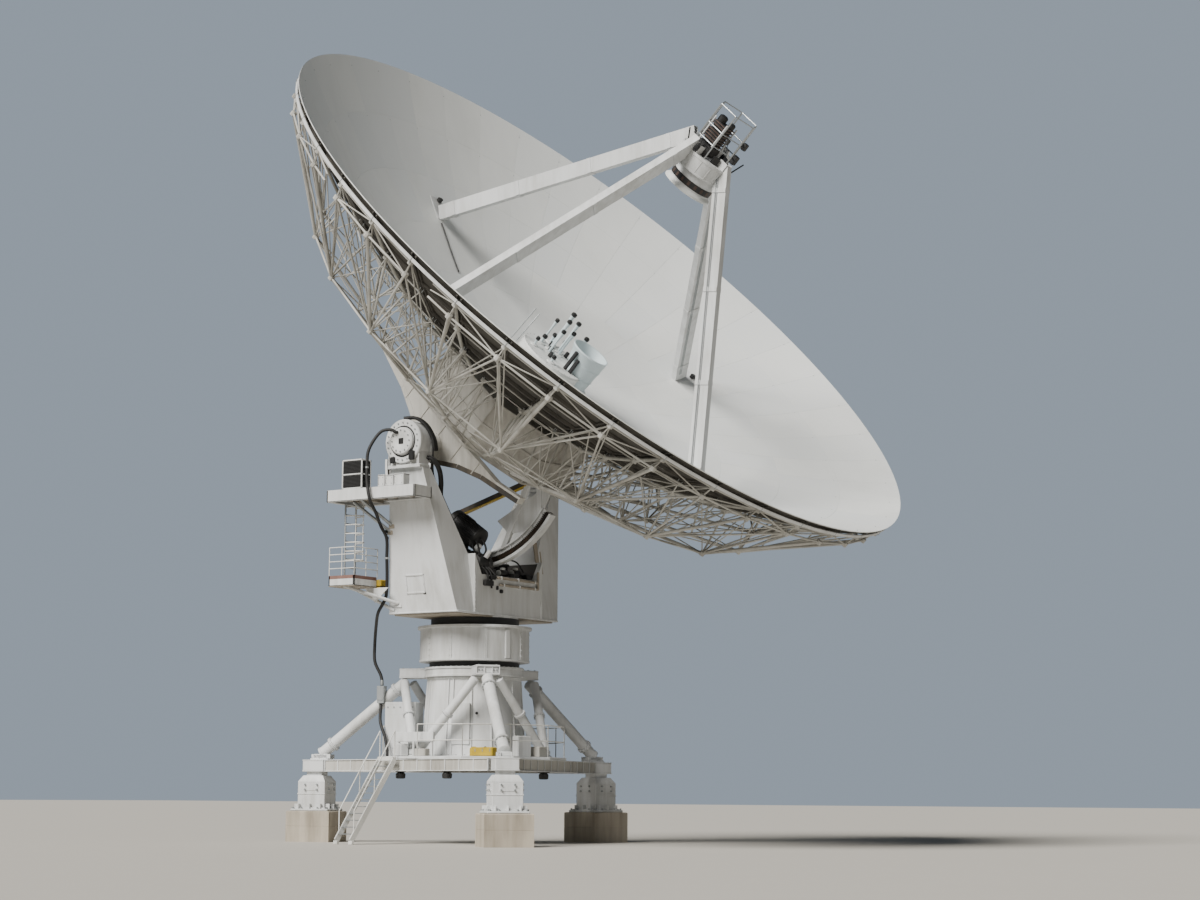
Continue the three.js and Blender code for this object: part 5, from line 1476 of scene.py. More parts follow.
class YOKE_OT_bearings(bpy.types.Operator):
    """Builds the two elevation bearings with their covers and bolts"""

    bl_idname = "telescope.bearings"
    bl_label = "Elevation bearings"

    radius = 0.75
    bore = 0.355
    bore_end = 3.965
    inside, outside = 3.32, 4.15
    cover = 0.465
    block = 0.68

    def execute(self, context):
        for name, side in (("near", -1), ("far", 1)):
            place = facing((0, 0, AXIS_Z), (0, side, 0))
            r = self.radius
            body = Shape().turned([
                (0.02, self.bore_end), (self.bore, self.bore_end), (self.bore, self.inside),
                (r - 0.07, self.inside), (r, self.inside + 0.05), (r, self.inside + 0.2),
                (r - 0.03, self.inside + 0.23), (r - 0.03, self.outside - 0.16), (r, self.outside - 0.13),
                (r, self.outside - 0.03), (r - 0.03, self.outside), (self.cover, self.outside),
                (self.cover, self.outside + 0.08), (self.cover - 0.04, self.outside + 0.12),
                (0.2, self.outside + 0.12), (0.17, self.outside + 0.1), (0.02, self.outside + 0.1),
            ], place, 72)
            y0, y1 = sorted((side * 3.53, side * 4.1))
            pillow = Shape().box((-self.block, y0, ARM_HEAD + AIR), (self.block, y1, 12.53), None, 0.02)
            pillow.box((-0.6, y0 + 0.05, 12.5), (0.6, y1 - 0.05, AXIS_Z - 0.02), None, 0.03)
            for x in (-0.64, -0.3, 0.3, 0.62):
                pillow.box((x - 0.02, y0 + 0.01, 12.5), (x + 0.02, y1 - 0.01, AXIS_Z - 0.1))
            pillow.box((-self.block, y0 + 0.1, AXIS_Z - 0.12), (self.block, y1 - 0.1, AXIS_Z), None, 0.02)
            places = bolt_ring(place @ at(z=self.outside), 0.63, 20)
            places += bolt_ring(place @ at(z=self.outside + 0.12), 0.36, 12)
            places += bolt_grid((-0.5, -0.4, 0.4, 0.5), (side * 3.62, side * 4.02), (12.53,), UP)
            boxes = Shape()
            if side < 0:
                boxes.box((-0.1, -4.269, AXIS_Z - 0.1), (0.1, -4.2, AXIS_Z + 0.1), None, 0.01)
                boxes.box((-0.66, -3.98, 12.62), (-0.52, -3.7, 12.95))
                boxes.box((0.3, -4.25, AXIS_Z - 0.66), (0.52, -4.13, AXIS_Z - 0.34), None, 0.03)
                boxes.box((-0.5, -4.22, AXIS_Z - 0.72), (-0.3, -4.1, AXIS_Z - 0.5), None, 0.03)
                boxes.collar(0.48, 0.53, 4.149, 4.156, place, 48)
            meshes = [body.mesh("enamel"), pillow.mesh("enamel"), studs(places, 0.028, 0.05, "zinc")]
            meshes += [boxes.mesh("black")] if boxes.faces else []
            piece(f"bearing_{name}", "yoke", meshes, [f"elevation_bearing_{name}"])
        return {"FINISHED"}


class YOKE_OT_platform(bpy.types.Operator):
    """Builds the service platform and what stands on it, and the ladder with its landing"""

    bl_idname = "telescope.platform"
    bl_label = "Platform and ladder"

    top = 11.75
    outline = ((-2.75, -4.75), (1.0, -4.75), (1.0, -3.825), (-0.8, -3.825), (-0.8, -3.1), (-2.75, -3.1))
    rung_spacing = 0.3
    ladder = (-2.45, -4.1, -3.55)  # its place along X and its two rails along Y
    landing = (-2.8, -1.7, -4.5, -3.3, 8.52, 8.89)

    def floor_plate(self):
        edge, under = Shape(), Shape()
        for (x0, y0), (x1, y1) in zip(self.outline, self.outline[1:] + self.outline[:1]):
            a, b = vec(x0, y0, 0), vec(x1, y1, 0)
            inward = UP.cross((b - a).normalized()) * 0.03
            for steps, z, width, depth, chamfer in (
                (1, 11.55, 0.06, 0.4, 0.008), (2, 11.37, 0.12, 0.03, 0.005),
            ):
                shift = inward * steps + vec(0, 0, z)
                edge.bar(a + shift, b + shift, width, depth, chamfer=chamfer)
        inset = [(-2.7, -4.7), (0.95, -4.7), (0.95, -3.87), (-0.85, -3.87), (-0.85, -3.15), (-2.7, -3.15)]
        edge.plate(inset, 0.05, at(z=self.top - 0.05))
        for x in (-2.2, -1.6, -1.0, -0.4, 0.3):
            under.box((x - 0.04, -4.7, 11.42), (x + 0.04, -3.15 if x < -0.85 else -3.87, 11.69))
        return edge, under

    def execute(self, context):
        edge, under = self.floor_plate()
        wires = []
        for x, y, foot_x, foot_z in ((-2.15, -4.05, -1.0, 10.4), (-1.5, -4.45, -0.9, 10.6)):
            foot = vec(foot_x, -arm_outside(foot_z) - 0.005, foot_z)
            wires.append((vec(x, y, 11.4), foot, 0.055))
            under.box(foot - vec(0.12, 0.0, 0.12), foot + vec(0.12, 0.03, 0.12))
        # Two stops at the ends of the floor's inner edge, and the grating's cross bars
        stops = slats((-2.7, -3.9, 11.66), (0.95, -3.9, 11.66), UP, (0, 1, 0), (0.02, 0.03, 0.06), 2, "zinc")
        grating = slats(
            (-2.7, -4.28, 11.67), (0.9, -4.28, 11.67), UP, (0, 1, 0), (0.8, 0.03, 0.05), 30, "zinc",
        )
        meshes = [edge.mesh("enamel"), under.mesh("shade"), round_bars(wires, "zinc"), stops, grating]
        piece("platform", "yoke", meshes, ["service_platform"])
        self.louvre_box(context.scene.telescope_yoke.louvres)
        self.control_boxes()
        self.ladder_and_landing(context.scene.telescope_yoke.hoop_spacing)
        self.junction_box()
        return {"FINISHED"}

    def louvre_box(self, count):
        low, high, z0, z1 = (-2.15, -4.7), (-1.28, -4.2), self.top + AIR, 12.75
        frames, dark = Shape(), Shape()
        # The dark box behind the louvres: painted shade inside the cabinet
        dark.box((low[0] + 0.02, low[1] + 0.02, z0), (high[0] - 0.02, high[1] - 0.02, z1 - 0.02))
        middle = (z0 + z1) / 2
        for x in (low[0], high[0] - 0.05):
            for y in (low[1], high[1] - 0.05):
                frames.box((x, y, z0), (x + 0.05, y + 0.05, z1))
        for z in (z0, middle - 0.03, z1 - 0.05):
            for y in (low[1], high[1] - 0.04):
                frames.box((low[0], y, z), (high[0], y + 0.04, z + 0.05))
            for x in (low[0], high[0] - 0.04):
                frames.box((x, low[1], z), (x + 0.04, high[1], z + 0.05))
        grilles = []
        for z in (z0 + 0.08, middle + 0.05):
            x, y = (low[0] + high[0]) / 2, (low[1] + high[1]) / 2
            for place, out, across, width in (
                ((x, low[1] + 0.015, z), (0, -0.9, 0.4), (1, 0, 0), 0.75),
                ((x, high[1] - 0.015, z), (0, 0.9, 0.4), (1, 0, 0), 0.75),
                ((low[0] + 0.015, y, z), (-0.9, 0, 0.4), (0, 1, 0), 0.38),
                ((high[0] - 0.015, y, z), (0.9, 0, 0.4), (0, 1, 0), 0.38),
            ):
                top = vec(*place) + vec(0, 0, 0.36)
                grilles.append(slats(place, top, out, across, (width, 0.05, 0.008), count, "louvre"))
        meshes = [frames.mesh("enamel"), dark.mesh("louvre"), *grilles]
        piece("louvre_box", "yoke", meshes, ["louvre_cabinet"])

    def control_boxes(self):
        boxes, dark, places, z0 = Shape(), Shape(), [], self.top + AIR
        for x0, x1, top in ((-0.6, -0.32, 12.15), (-0.29, 0.05, 12.12), (0.08, 0.48, 12.15)):
            boxes.box((x0, -4.7, z0), (x1, -4.35, top), None, 0.02)
            boxes.box((x0, -4.7, top - 0.05), (x1, -4.35, top), None, 0.01)
            dark.box((x0 + 0.03, -4.703, z0 + 0.06), (x0 + 0.045, -4.68, top - 0.08))
            places += bolt_grid((x0 + 0.06, x1 - 0.06), (-4.7,), (z0 + 0.08, top - 0.1), (0, -1, 0))
        for x in (-0.45, 0.2):
            dark.pipe([(x, -4.45, 11.9), (x, -4.3, 11.95), (x, -4.2, 11.85), (x, -4.15, 11.76)], 0.025, 8)
        meshes = [boxes.mesh("enamel"), dark.mesh("black"), studs(places, 0.015, 0.02, "zinc")]
        piece("control_boxes", "yoke", meshes, ["control_cabinet"])

    def ladder_and_landing(self, spacing):
        x, y0, y1 = self.ladder
        x0, x1, front, back, z0, z1 = self.landing
        wires, cage, hoops, rust = [], [], Shape(), Shape()
        for y in (y0, y1):
            wires.append((vec(x, y, 11.3497), vec(x, y, z0 + 0.06), 0.032))
        z = z1 + self.rung_spacing
        while z < 11.3:
            wires.append((vec(x, y0, z), vec(x, y1, z), 0.017))
            z += self.rung_spacing
        reach, half = 0.55, (y1 - y0) / 2
        arc = [
            vec(x + reach * math.sin(math.pi * k / 8), (y0 + y1) / 2 - half * math.cos(math.pi * k / 8), 0)
            for k in range(9)
        ]
        z = z1 + 0.55
        while z < 11.3:
            ring = [p + vec(0, 0, z) for p in arc]
            cage += [(a, b, 0.02) for a, b in zip(ring, ring[1:])]
            z += spacing
        cage += [(arc[k] + vec(0, 0, z1 + 0.55), arc[k] + vec(0, 0, 11.3), 0.014) for k in (2, 4, 6)]
        floor = Shape().box((x0, front, z0), (x1, back, z0 + 0.06))
        for a, b in (
            ((x0, front), (x1, front + 0.06)), ((x0, front), (x0 + 0.06, back)),
            ((x1 - 0.06, front), (x1, back)),
        ):
            rust.box((*a, z1 - 0.12), (*b, z1), None, 0.008)
            hoops.box((*a, z0 + 0.02), (*b, z1 - 0.11), None, 0.008)
        for head_x, head_y, foot_x, foot_z in ((-2.25, -4.38, -1.0, 8.0), (-2.6, -3.42, -1.2, 7.78)):
            foot = vec(foot_x, -arm_outside(foot_z) - 0.006, foot_z)
            hoops.tube((head_x, head_y, z0 + 0.03), foot, 0.055)
            hoops.box(foot - vec(0.13, 0.0, 0.13), foot + vec(0.13, 0.02, 0.13))
        hoops.plate([(0, 0), (1.0, 0), (0.45, -0.5)], 0.03, at(-2.1, -3.4, z0) @ turn(90, "X"))
        meshes = [
            round_bars(wires, "zinc"), hoops.mesh("enamel"), rust.mesh("primer"),
            floor.mesh("shade"), round_bars(cage, "tube_enamel"),
        ]
        piece("ladder_and_landing", "yoke", meshes, ["yoke_ladder"])
        y = front + 0.03
        corners = [vec(x1 - 0.02, back + 0.05, z1), vec(x1 - 0.02, y, z1), vec(x0, y, z1)]
        rails = handrail(corners, 0.95, 0.015, 0.6)
        rails += [
            (a + vec(0, 0, z), b + vec(0, 0, z), 0.016)
            for a, b in zip(corners, corners[1:])
            for z in (0.24, 0.71)
        ]
        piece("landing_rails", "yoke", [round_bars(rails, "tube_enamel")])

    def junction_box(self):
        box, trim = Shape().box((-2.1, -3.299, 8.37), (-1.52, -2.9, 8.81), None, 0.03), Shape()
        trim.box((-2.1, -3.299, 8.56), (-1.52, -2.9, 8.6), None, 0.004)
        places = bolt_grid((-2.05, -1.57), (-3.299,), (8.42, 8.76), (0, -1, 0))
        meshes = [box.mesh("ochre"), trim.mesh("black"), studs(places, 0.014, 0.02, "zinc")]
        piece("junction_box", "yoke", meshes, ["yoke_landing_box"])


class YOKE_OT_cables(bpy.types.Operator):
    """Draws the hoses down the near arm and the drop cable to its socket"""

    bl_idname = "telescope.cables"
    bl_label = "Cables"

    bundle = (
        (0.6803, -3.64, 12.75), (0.79, -3.64, 12.75), (0.9, -3.54, 12.63), (0.93, -3.33, 12.35),
        (0.8, -3.07, 12.0),
    )
    drop = (
        (-0.15, -4.271, 13.6), (-0.15, -4.35, 13.6), (-0.32, -4.45, 13.68), (-0.63, -4.6, 13.58),
        (-0.88, -4.85, 13.0), (-0.9, -4.9, 12.4), (-0.88, -4.9, 11.85), (-0.76, -4.89, 11.3),
        (-0.87, -4.45, 10.95), (-1.11, -3.86, 10.55), (-1.09, -3.56, 10.15), (-1.18, -3.42, 9.5),
        (-1.29, -3.25, 8.85), (-1.4, -3.15, 8.25), (-1.53, -3.17, 7.98), (-1.9, -2.95, 7.7),
        (-2.7, -2.05, 7.35), (-3.35, -1.3, 6.8), (-3.39, -1.23, 6.2), (-3.19, -1.15, 5.74),
        (-3.12, -1.15, 5.5), (-3.12, -1.15, 5.37),
    )
    tail = (
        (-3.091, -1.228, 4.749), (-3.091, -1.228, 4.64), (-2.844, -1.545, 4.1), (-2.589, -1.602, 3.6),
        (-2.47, -1.618, 3.2), (-2.454, -1.622, 2.916),
    )

    def arm_points(self):
        off = 0.09 / math.cos(math.atan(ARM_LEAN)) + 0.035
        points = [*self.bundle]
        points += [(arm_half_depth(z) - 0.22, -arm_inside(z) + off, z) for z in (11.45, 11.0, 10.4, 9.85)]
        return [*points, (0.9, -1.52, 9.55), (0.9, -1.33, 9.33), (0.9, -1.33, 9.22)]

    def execute(self, context):
        hoses, clamps = Shape(), Shape()
        points = self.arm_points()
        hoses.pipe(points, 0.042, 10)
        for k in range(5):
            angle = 2 * math.pi * k / 5
            hoses.pipe(points, 0.03, 8, (0.058 * math.cos(angle), 0.058 * math.sin(angle)))
        # More hoses at the arm's front edge, over the bearing's top and down into the notch
        for off in (0.05, 0.12, 0.19):
            over = [
                (-0.05, -4.1 + off, 14.1), (0.3, -3.95 + off, 14.1), (0.62, -3.8 + off, 13.85),
                (0.82, -3.66 + off, 13.4),
            ]
            hoses.pipe([*over, (0.86, -3.6 + off, 13.0)], 0.055, 10)
            line = [(0.8, -3.66 + off, 13.3), (0.85, -3.6, 12.9)]
            line += [
                (arm_half_depth(z) - 0.14, -arm_inside(z) + off, z)
                for z in (12.2, 11.6, 11.0, 10.4, 9.9)
            ]
            hoses.pipe([*line, (0.95, -1.8 + off, 9.5), (0.85, -1.5 + off, 9.3)], 0.03, 8)
        for z in (11.45, 10.7, 10.0):
            x = arm_half_depth(z) - 0.22
            centre = vec(x, -arm_inside(z) + 0.06, z)
            clamps.bar(centre - vec(0.13, 0, 0), centre + vec(0.13, 0, 0), 0.14, 0.05, up=(0, ARM_LEAN, 1))
        piece("arm_hoses", "yoke", [hoses.mesh("rubber"), clamps.mesh("zinc")], ["yoke_arm_cable"])

        drop, plug = Shape().pipe(self.drop, 0.055, 14), Shape()
        end = Vector(self.drop[-1])
        plug.turned([(0.03, 0), (0.062, 0.01), (0.062, 0.14), (0.056, 0.18)], at(*end), 18)
        for x, y, z in ((-0.9, -4.9, 12.4), (-1.18, -3.42, 9.5)):
            plug.collar(0.057, 0.064, -0.03, 0.03, at(x, y, z), 16)
        piece("drop_cable", "yoke", [drop.mesh("rubber"), plug.mesh("zinc")], ["yoke_drop_cable"])
        tail = Shape().pipe(self.tail, 0.055, 14)
        piece("drop_cable_tail", "base", [tail.mesh("rubber")], ["deck_drop_cable"])
        return {"FINISHED"}


# Base


class BASE_OT_pedestal(bpy.types.Operator):
    """Builds the azimuth housing, its dark neck, the ring with the lugs, and the drum"""

    bl_idname = "telescope.pedestal"
    bl_label = "Pedestal"

    seams = (-108.5, -79, -41.5, 3.5, 45, 90, 135, 180)
    ribs = (-150, -120, -85, -78.5, -56, -33, 0, 32, 59.5, 90, 120, 150, 180)

    def housing(self, bolt, count):
        body = Shape().turned([
            (1.26, RING_TOP + AIR), (1.53, RING_TOP + AIR), (1.53, 6.11), (1.85, 6.12), (1.87, 6.14),
            (1.87, 7.23), (1.88, 7.24), (1.95, 7.24), (1.96, 7.25), (1.96, 7.32), (1.95, 7.33), (1.26, 7.33),
        ], None, 96, closed=True)
        # The neck in black: painted shade in the gap under the housing
        neck = Shape().collar(1.5, 1.545, 5.94, 6.119, None, 72)
        body.collar(1.8, 1.895, 6.13, 6.19, None, 96)
        places = []
        for bearing in self.seams:
            place = turn(bearing)
            body.box((1.85, -0.05, 6.19), (1.89, 0.05, 7.24), place, 0.006)
            places += bolt_grid((1.89,), (-0.03, 0.03), (6.3, 6.5, 6.7, 6.9, 7.1), (1, 0, 0), place)
        body.box((1.84, -0.1, 6.2), (1.905, 0.1, 7.2), turn(-17), 0.02)
        places += [(polar(1.92, 360 * k / count, 7.24), (0, 0, -1)) for k in range(count)]
        meshes = [body.mesh("enamel"), neck.mesh("black"), studs(places, bolt * 0.7, 0.03, "enamel")]
        piece("azimuth_drum", "base", meshes, ["azimuth_housing"])

    def drum(self, bolt):
        body = Shape().turned([
            (1.82, DECK_TOP + AIR), (1.82, 2.95), (1.75, 2.96), (1.57, 5.5), (1.62, 5.52), (1.62, 5.59),
            (1.56, 5.6),
        ], None, 96)
        for bearing in self.ribs:
            foot, head = polar(1.745, bearing, 2.95), polar(1.575, bearing, 5.5)
            body.bar(foot, head, 0.03, 0.1, up=polar(1, bearing), chamfer=0.004)
        body.box((1.6, -0.32, 3.3), (1.76, 0.32, 4.7), turn(-68), 0.02)
        places = bolt_ring(at(z=2.95), 1.785, 40)
        dots = Shape()
        for bearing, z in ((-63, 4.55), (-66, 3.9), (-75, 4.0), (-50, 4.35), (-58, 3.5), (-40, 3.2)):
            dots.turned([(0.05, 0), (0.045, 0.04)], facing(polar(1.7, bearing, z), polar(1, bearing)), 14)
        meshes = [body.mesh("enamel"), dots.mesh("black"), studs(places, bolt, 0.04, "zinc")]
        piece("drum", "base", meshes, ["pedestal_drum"])

    def ring(self, bolt, count):
        body = Shape().turned([
            (1.27, 5.6003), (1.71, 5.6003), (1.71, 5.66), (1.67, 5.67), (1.67, 5.86), (1.71, 5.87),
            (1.71, 5.929), (1.27, 5.929),
        ], None, 96, closed=True)
        places = []
        for bearing in CORNERS.values():
            place = turn(bearing)
            body.box((1.5, -0.4, 5.601), (2.6, 0.4, 5.66), place, 0.01)
            body.box((1.5, -0.4, 5.87), (2.6, 0.4, 5.93), place, 0.01)
            body.box((1.5, -0.37, 5.64), (2.55, 0.37, 5.89), place, 0.04)
            for y in (-0.4, -0.13, 0.13, 0.37):
                body.box((1.5, y, 5.63), (2.59, y + 0.03, 5.9), place, 0.005)
            places += bolt_grid((2.55,), (-0.3, -0.2, 0.2, 0.3), (5.76,), (1, 0, 0), place)
            places += bolt_grid((1.9, 2.2, 2.5), (-0.3, 0.3), (RING_TOP,), UP, place)
        places += bolt_ring(at(z=RING_TOP), 1.62, count)
        meshes = [body.mesh("enamel"), studs(places, bolt, 0.05, "zinc")]
        piece("ring_and_lugs", "base", meshes, ["pedestal_ring"])

    def execute(self, context):
        sizes = context.scene.telescope_base
        self.housing(sizes.bolt_radius, sizes.ring_bolts)
        self.drum(sizes.bolt_radius)
        self.ring(sizes.bolt_radius, sizes.ring_bolts)
        return {"FINISHED"}


class BASE_OT_struts(bpy.types.Operator):
    """Builds the struts from the ring's lugs down to the corners and the deck"""

    bl_idname = "telescope.struts"
    bl_label = "Struts"

    corner_radius = 0.2
    side_radius = 0.15
    # A pair of flanges with the joint between them: shares of the tube's radius, and heights
    flange = (
        (1, -0.045), (1.3, -0.04), (1.3, -0.006), (1.02, -0.003), (1.02, 0.003), (1.3, 0.006), (1.3, 0.04),
        (1, 0.045),
    )

    def strut(self, shape, places, a, b, radius, rings):
        """A tube with rounded ends, a collar at its foot, and bolted flanges at shares of its length."""
        way = b - a
        place = facing(a, way)
        n = way.length
        shape.turned([
            (0.02, -0.05 * radius), (radius * 0.75, 0.02), (radius, 0.3 * radius), (radius, n - 0.5 * radius),
            (radius * 1.12, n - 0.45 * radius), (radius * 1.12, n - 0.15 * radius), (radius * 0.9, n),
        ], place, 32)
        for share in rings:
            z = n * share
            shape.turned([(radius * s, z + h) for s, h in self.flange], place, 32)
            places += bolt_ring(place @ at(z=z + 0.05), radius * 1.16, 12)

    def execute(self, context):
        bolt = context.scene.telescope_base.bolt_radius
        for name, bearing in CORNERS.items():
            body, places = Shape(), []
            head, heel = vec(2.45, 0, 5.52), vec(5.6, 0, 3.01)
            self.strut(body, places, head, heel, self.corner_radius, (0.12, 0.86))
            body.box((5.27, -0.24, 2.8105), (5.93, 0.24, 2.86), None, 0.006)
            body.box((5.3, -0.2, 2.85), (5.85, 0.2, 3.01), None, 0.03)
            for y in (-0.2, 0.17):
                body.box((5.2, y, 2.85), (5.9, y + 0.03, 3.0), None, 0.005)
            places += bolt_grid((5.33, 5.6, 5.88), (-0.215, 0.215), (2.86,), UP)
            meshes = [body.mesh("enamel"), studs(places, bolt * 0.7, 0.04, "zinc")]
            piece(f"strut_{name}", "base", meshes, [f"corner_strut_{name}"], place=turn(bearing))
        for name, following in SIDES:
            start = CORNERS[name]
            middle = start + 60
            body, places = Shape(), []
            for lug, side in ((start, 1), (start + 120, -1)):
                head = polar(2.45, lug + side * 9, 5.5)
                heel = polar(2.5, middle - side * 4, 3.15)
                self.strut(body, places, head, heel, self.side_radius, (0.5,))
            place = turn(middle)
            body.box((2.305, -0.39, DECK_TOP + AIR), (2.695, 0.39, 2.95), place, 0.006)
            body.box((2.34, -0.36, 2.94), (2.66, 0.36, 3.15), place, 0.04)
            places += bolt_grid((2.322, 2.678), (-0.3, -0.1, 0.1, 0.3), (2.95,), UP, place)
            meshes = [body.mesh("enamel"), studs(places, bolt * 0.6, 0.035, "zinc")]
            piece(f"side_pair_{name}_{following}", "base", meshes, [f"side_struts_{name}_{following}"])
        return {"FINISHED"}


class BASE_OT_feet(bpy.types.Operator):
    """Builds the concrete piers, the steel feet on them and the beams between them"""

    bl_idname = "telescope.feet"
    bl_label = "Piers, feet and beams"

    corner = 5.75
    pier_side = 1.6
    # A foot's blocks and plates under and over its taper: side, bottom, top and broken edge
    under = (
        (1.38, 1.0503, 1.13, 0.02), (1.2, 1.12, 1.17, 0.01), (1.0, 1.15, 2.05, 0.012),
        (1.03, 1.62, 1.66, 0.006),
    )
    over = (
        (0.56, 2.2, 2.42, 0.02), (0.8, 2.4, 2.44, 0.01), (0.78, 2.43, 2.78, 0.02), (0.8, 2.77, 2.8097, 0.01),
    )
    stiffeners = 12  # bays between them along a beam
    lamps = {"left": (0.46, 0.74), "front": (0.38,), "right": ()}  # as shares of the beam from a corner

    def row(self, half, z):
        """The four corners of a square around a corner's axis."""
        return [(self.corner + x * half, y * half, z) for x, y in ((-1, -1), (1, -1), (1, 1), (-1, 1))]

    def square(self, shape, side, z0, z1, chamfer):
        """A square block around a corner's axis."""
        half = side / 2
        return shape.box((self.corner - half, -half, z0), (self.corner + half, half, z1), None, chamfer)

    def foot(self, bolt):
        body, places = Shape(), []
        for block in self.under:
            self.square(body, *block)
        body.loft([self.row(half, z) for half, z in ((0.5, 2.045), (0.5, 2.06), (0.36, 2.27))])
        for block in self.over:
            self.square(body, *block)
        for k in range(4):
            side = at(self.corner) @ turn(90 * k)
            for y in (-0.42, -0.015, 0.39):
                body.box((0.48, y, 1.13), (0.66, y + 0.03, 1.3), side, 0.005)
            body.box((0.49, -0.26, 1.75), (0.515, 0.26, 2.0), side, 0.008)
            places += bolt_grid((0.64,), (-0.6, -0.3, 0.3, 0.6), (1.13,), UP, side)
            places += bolt_grid((0.515,), (-0.22, 0.22), (1.79, 1.96), (1, 0, 0), side)
        return [body.mesh("enamel"), studs(places, bolt, 0.12, "zinc")]

    def beam(self, bearing, shares):
        a, b = polar(self.corner, bearing, 2.605), polar(self.corner, bearing + 120, 2.605)
        along = (b - a).normalized()
        # Clear of the corner of the foot's head, which is 0.8 m square
        clear = 0.4 * (math.cos(math.radians(30)) + math.sin(math.radians(30))) + 0.09
        a, b = a + along * clear, b - along * clear
        body, web, lamps, places = Shape(), Shape(), Shape(), []
        for z in (-0.19, 0.19):
            body.bar(a + UP * z, b + UP * z, 0.38, 0.028, chamfer=0.005)
        # The recessed web takes a darker enamel: painted shade between the flanges
        web.bar(a, b, 0.3, 0.37, chamfer=0.005)
        for share in shares:
            place = at(*a.lerp(b, share)) @ at(z=-0.2)
            lamps.turned([(0.11, -0.25), (0.16, -0.23), (0.17, -0.1), (0.08, 0.0), (0.05, 0.02)], place, 24)
            lamps.box((-0.2, -0.04, -0.03), (0.2, 0.04, 0.0), place @ turn(bearing + 60))
        across = along.cross(UP)
        for k in range(self.stiffeners + 1):
            middle = a + along * (0.02 + ((b - a).length - 0.04) * k / self.stiffeners)
            for side in (-1, 1):
                foot = middle + across * side * 0.165 - UP * 0.18
                body.bar(foot, foot + UP * 0.36, 0.04, 0.02, up=across, chamfer=0.003)
        for end in (a, b - along * 0.04):
            body.bar(end, end + along * 0.04, 0.38, 0.4, chamfer=0.005)
            for side in (-1, 1):
                places += [
                    (end + along * 0.04 + across * side * 0.13 + UP * z, along)
                    for z in (-0.12, 0, 0.12)
                ]
        made = [body.mesh("enamel"), web.mesh("hub_enamel"), studs(places, 0.02, 0.04, "zinc")]
        return made + ([lamps.mesh("black")] if shares else [])

    def execute(self, context):
        bolt = context.scene.telescope_base.bolt_radius
        for name, following in SIDES:
            place = turn(CORNERS[name])
            pier = Shape().loft([
                self.row(self.pier_side / 2 - inset, z)
                for z, inset in (
                    (0.0, 0.0), (0.52, 0.0), (0.53, 0.008), (0.54, 0.0), (1.02, 0.0), (1.05, 0.03),
                )
            ])
            meshes = [pier.mesh("concrete")]
            piece(f"concrete_pier_{name}", "base", meshes, [f"pier_{name}"], place, 20)
            piece(f"steel_foot_{name}", "base", self.foot(bolt), [f"foot_{name}"], place=place)
            meshes, ends = self.beam(CORNERS[name], self.lamps[name]), f"{name}_{following}"
            piece(f"beam_{ends}", "base", meshes, [f"frame_beam_{ends}"])
        return {"FINISHED"}


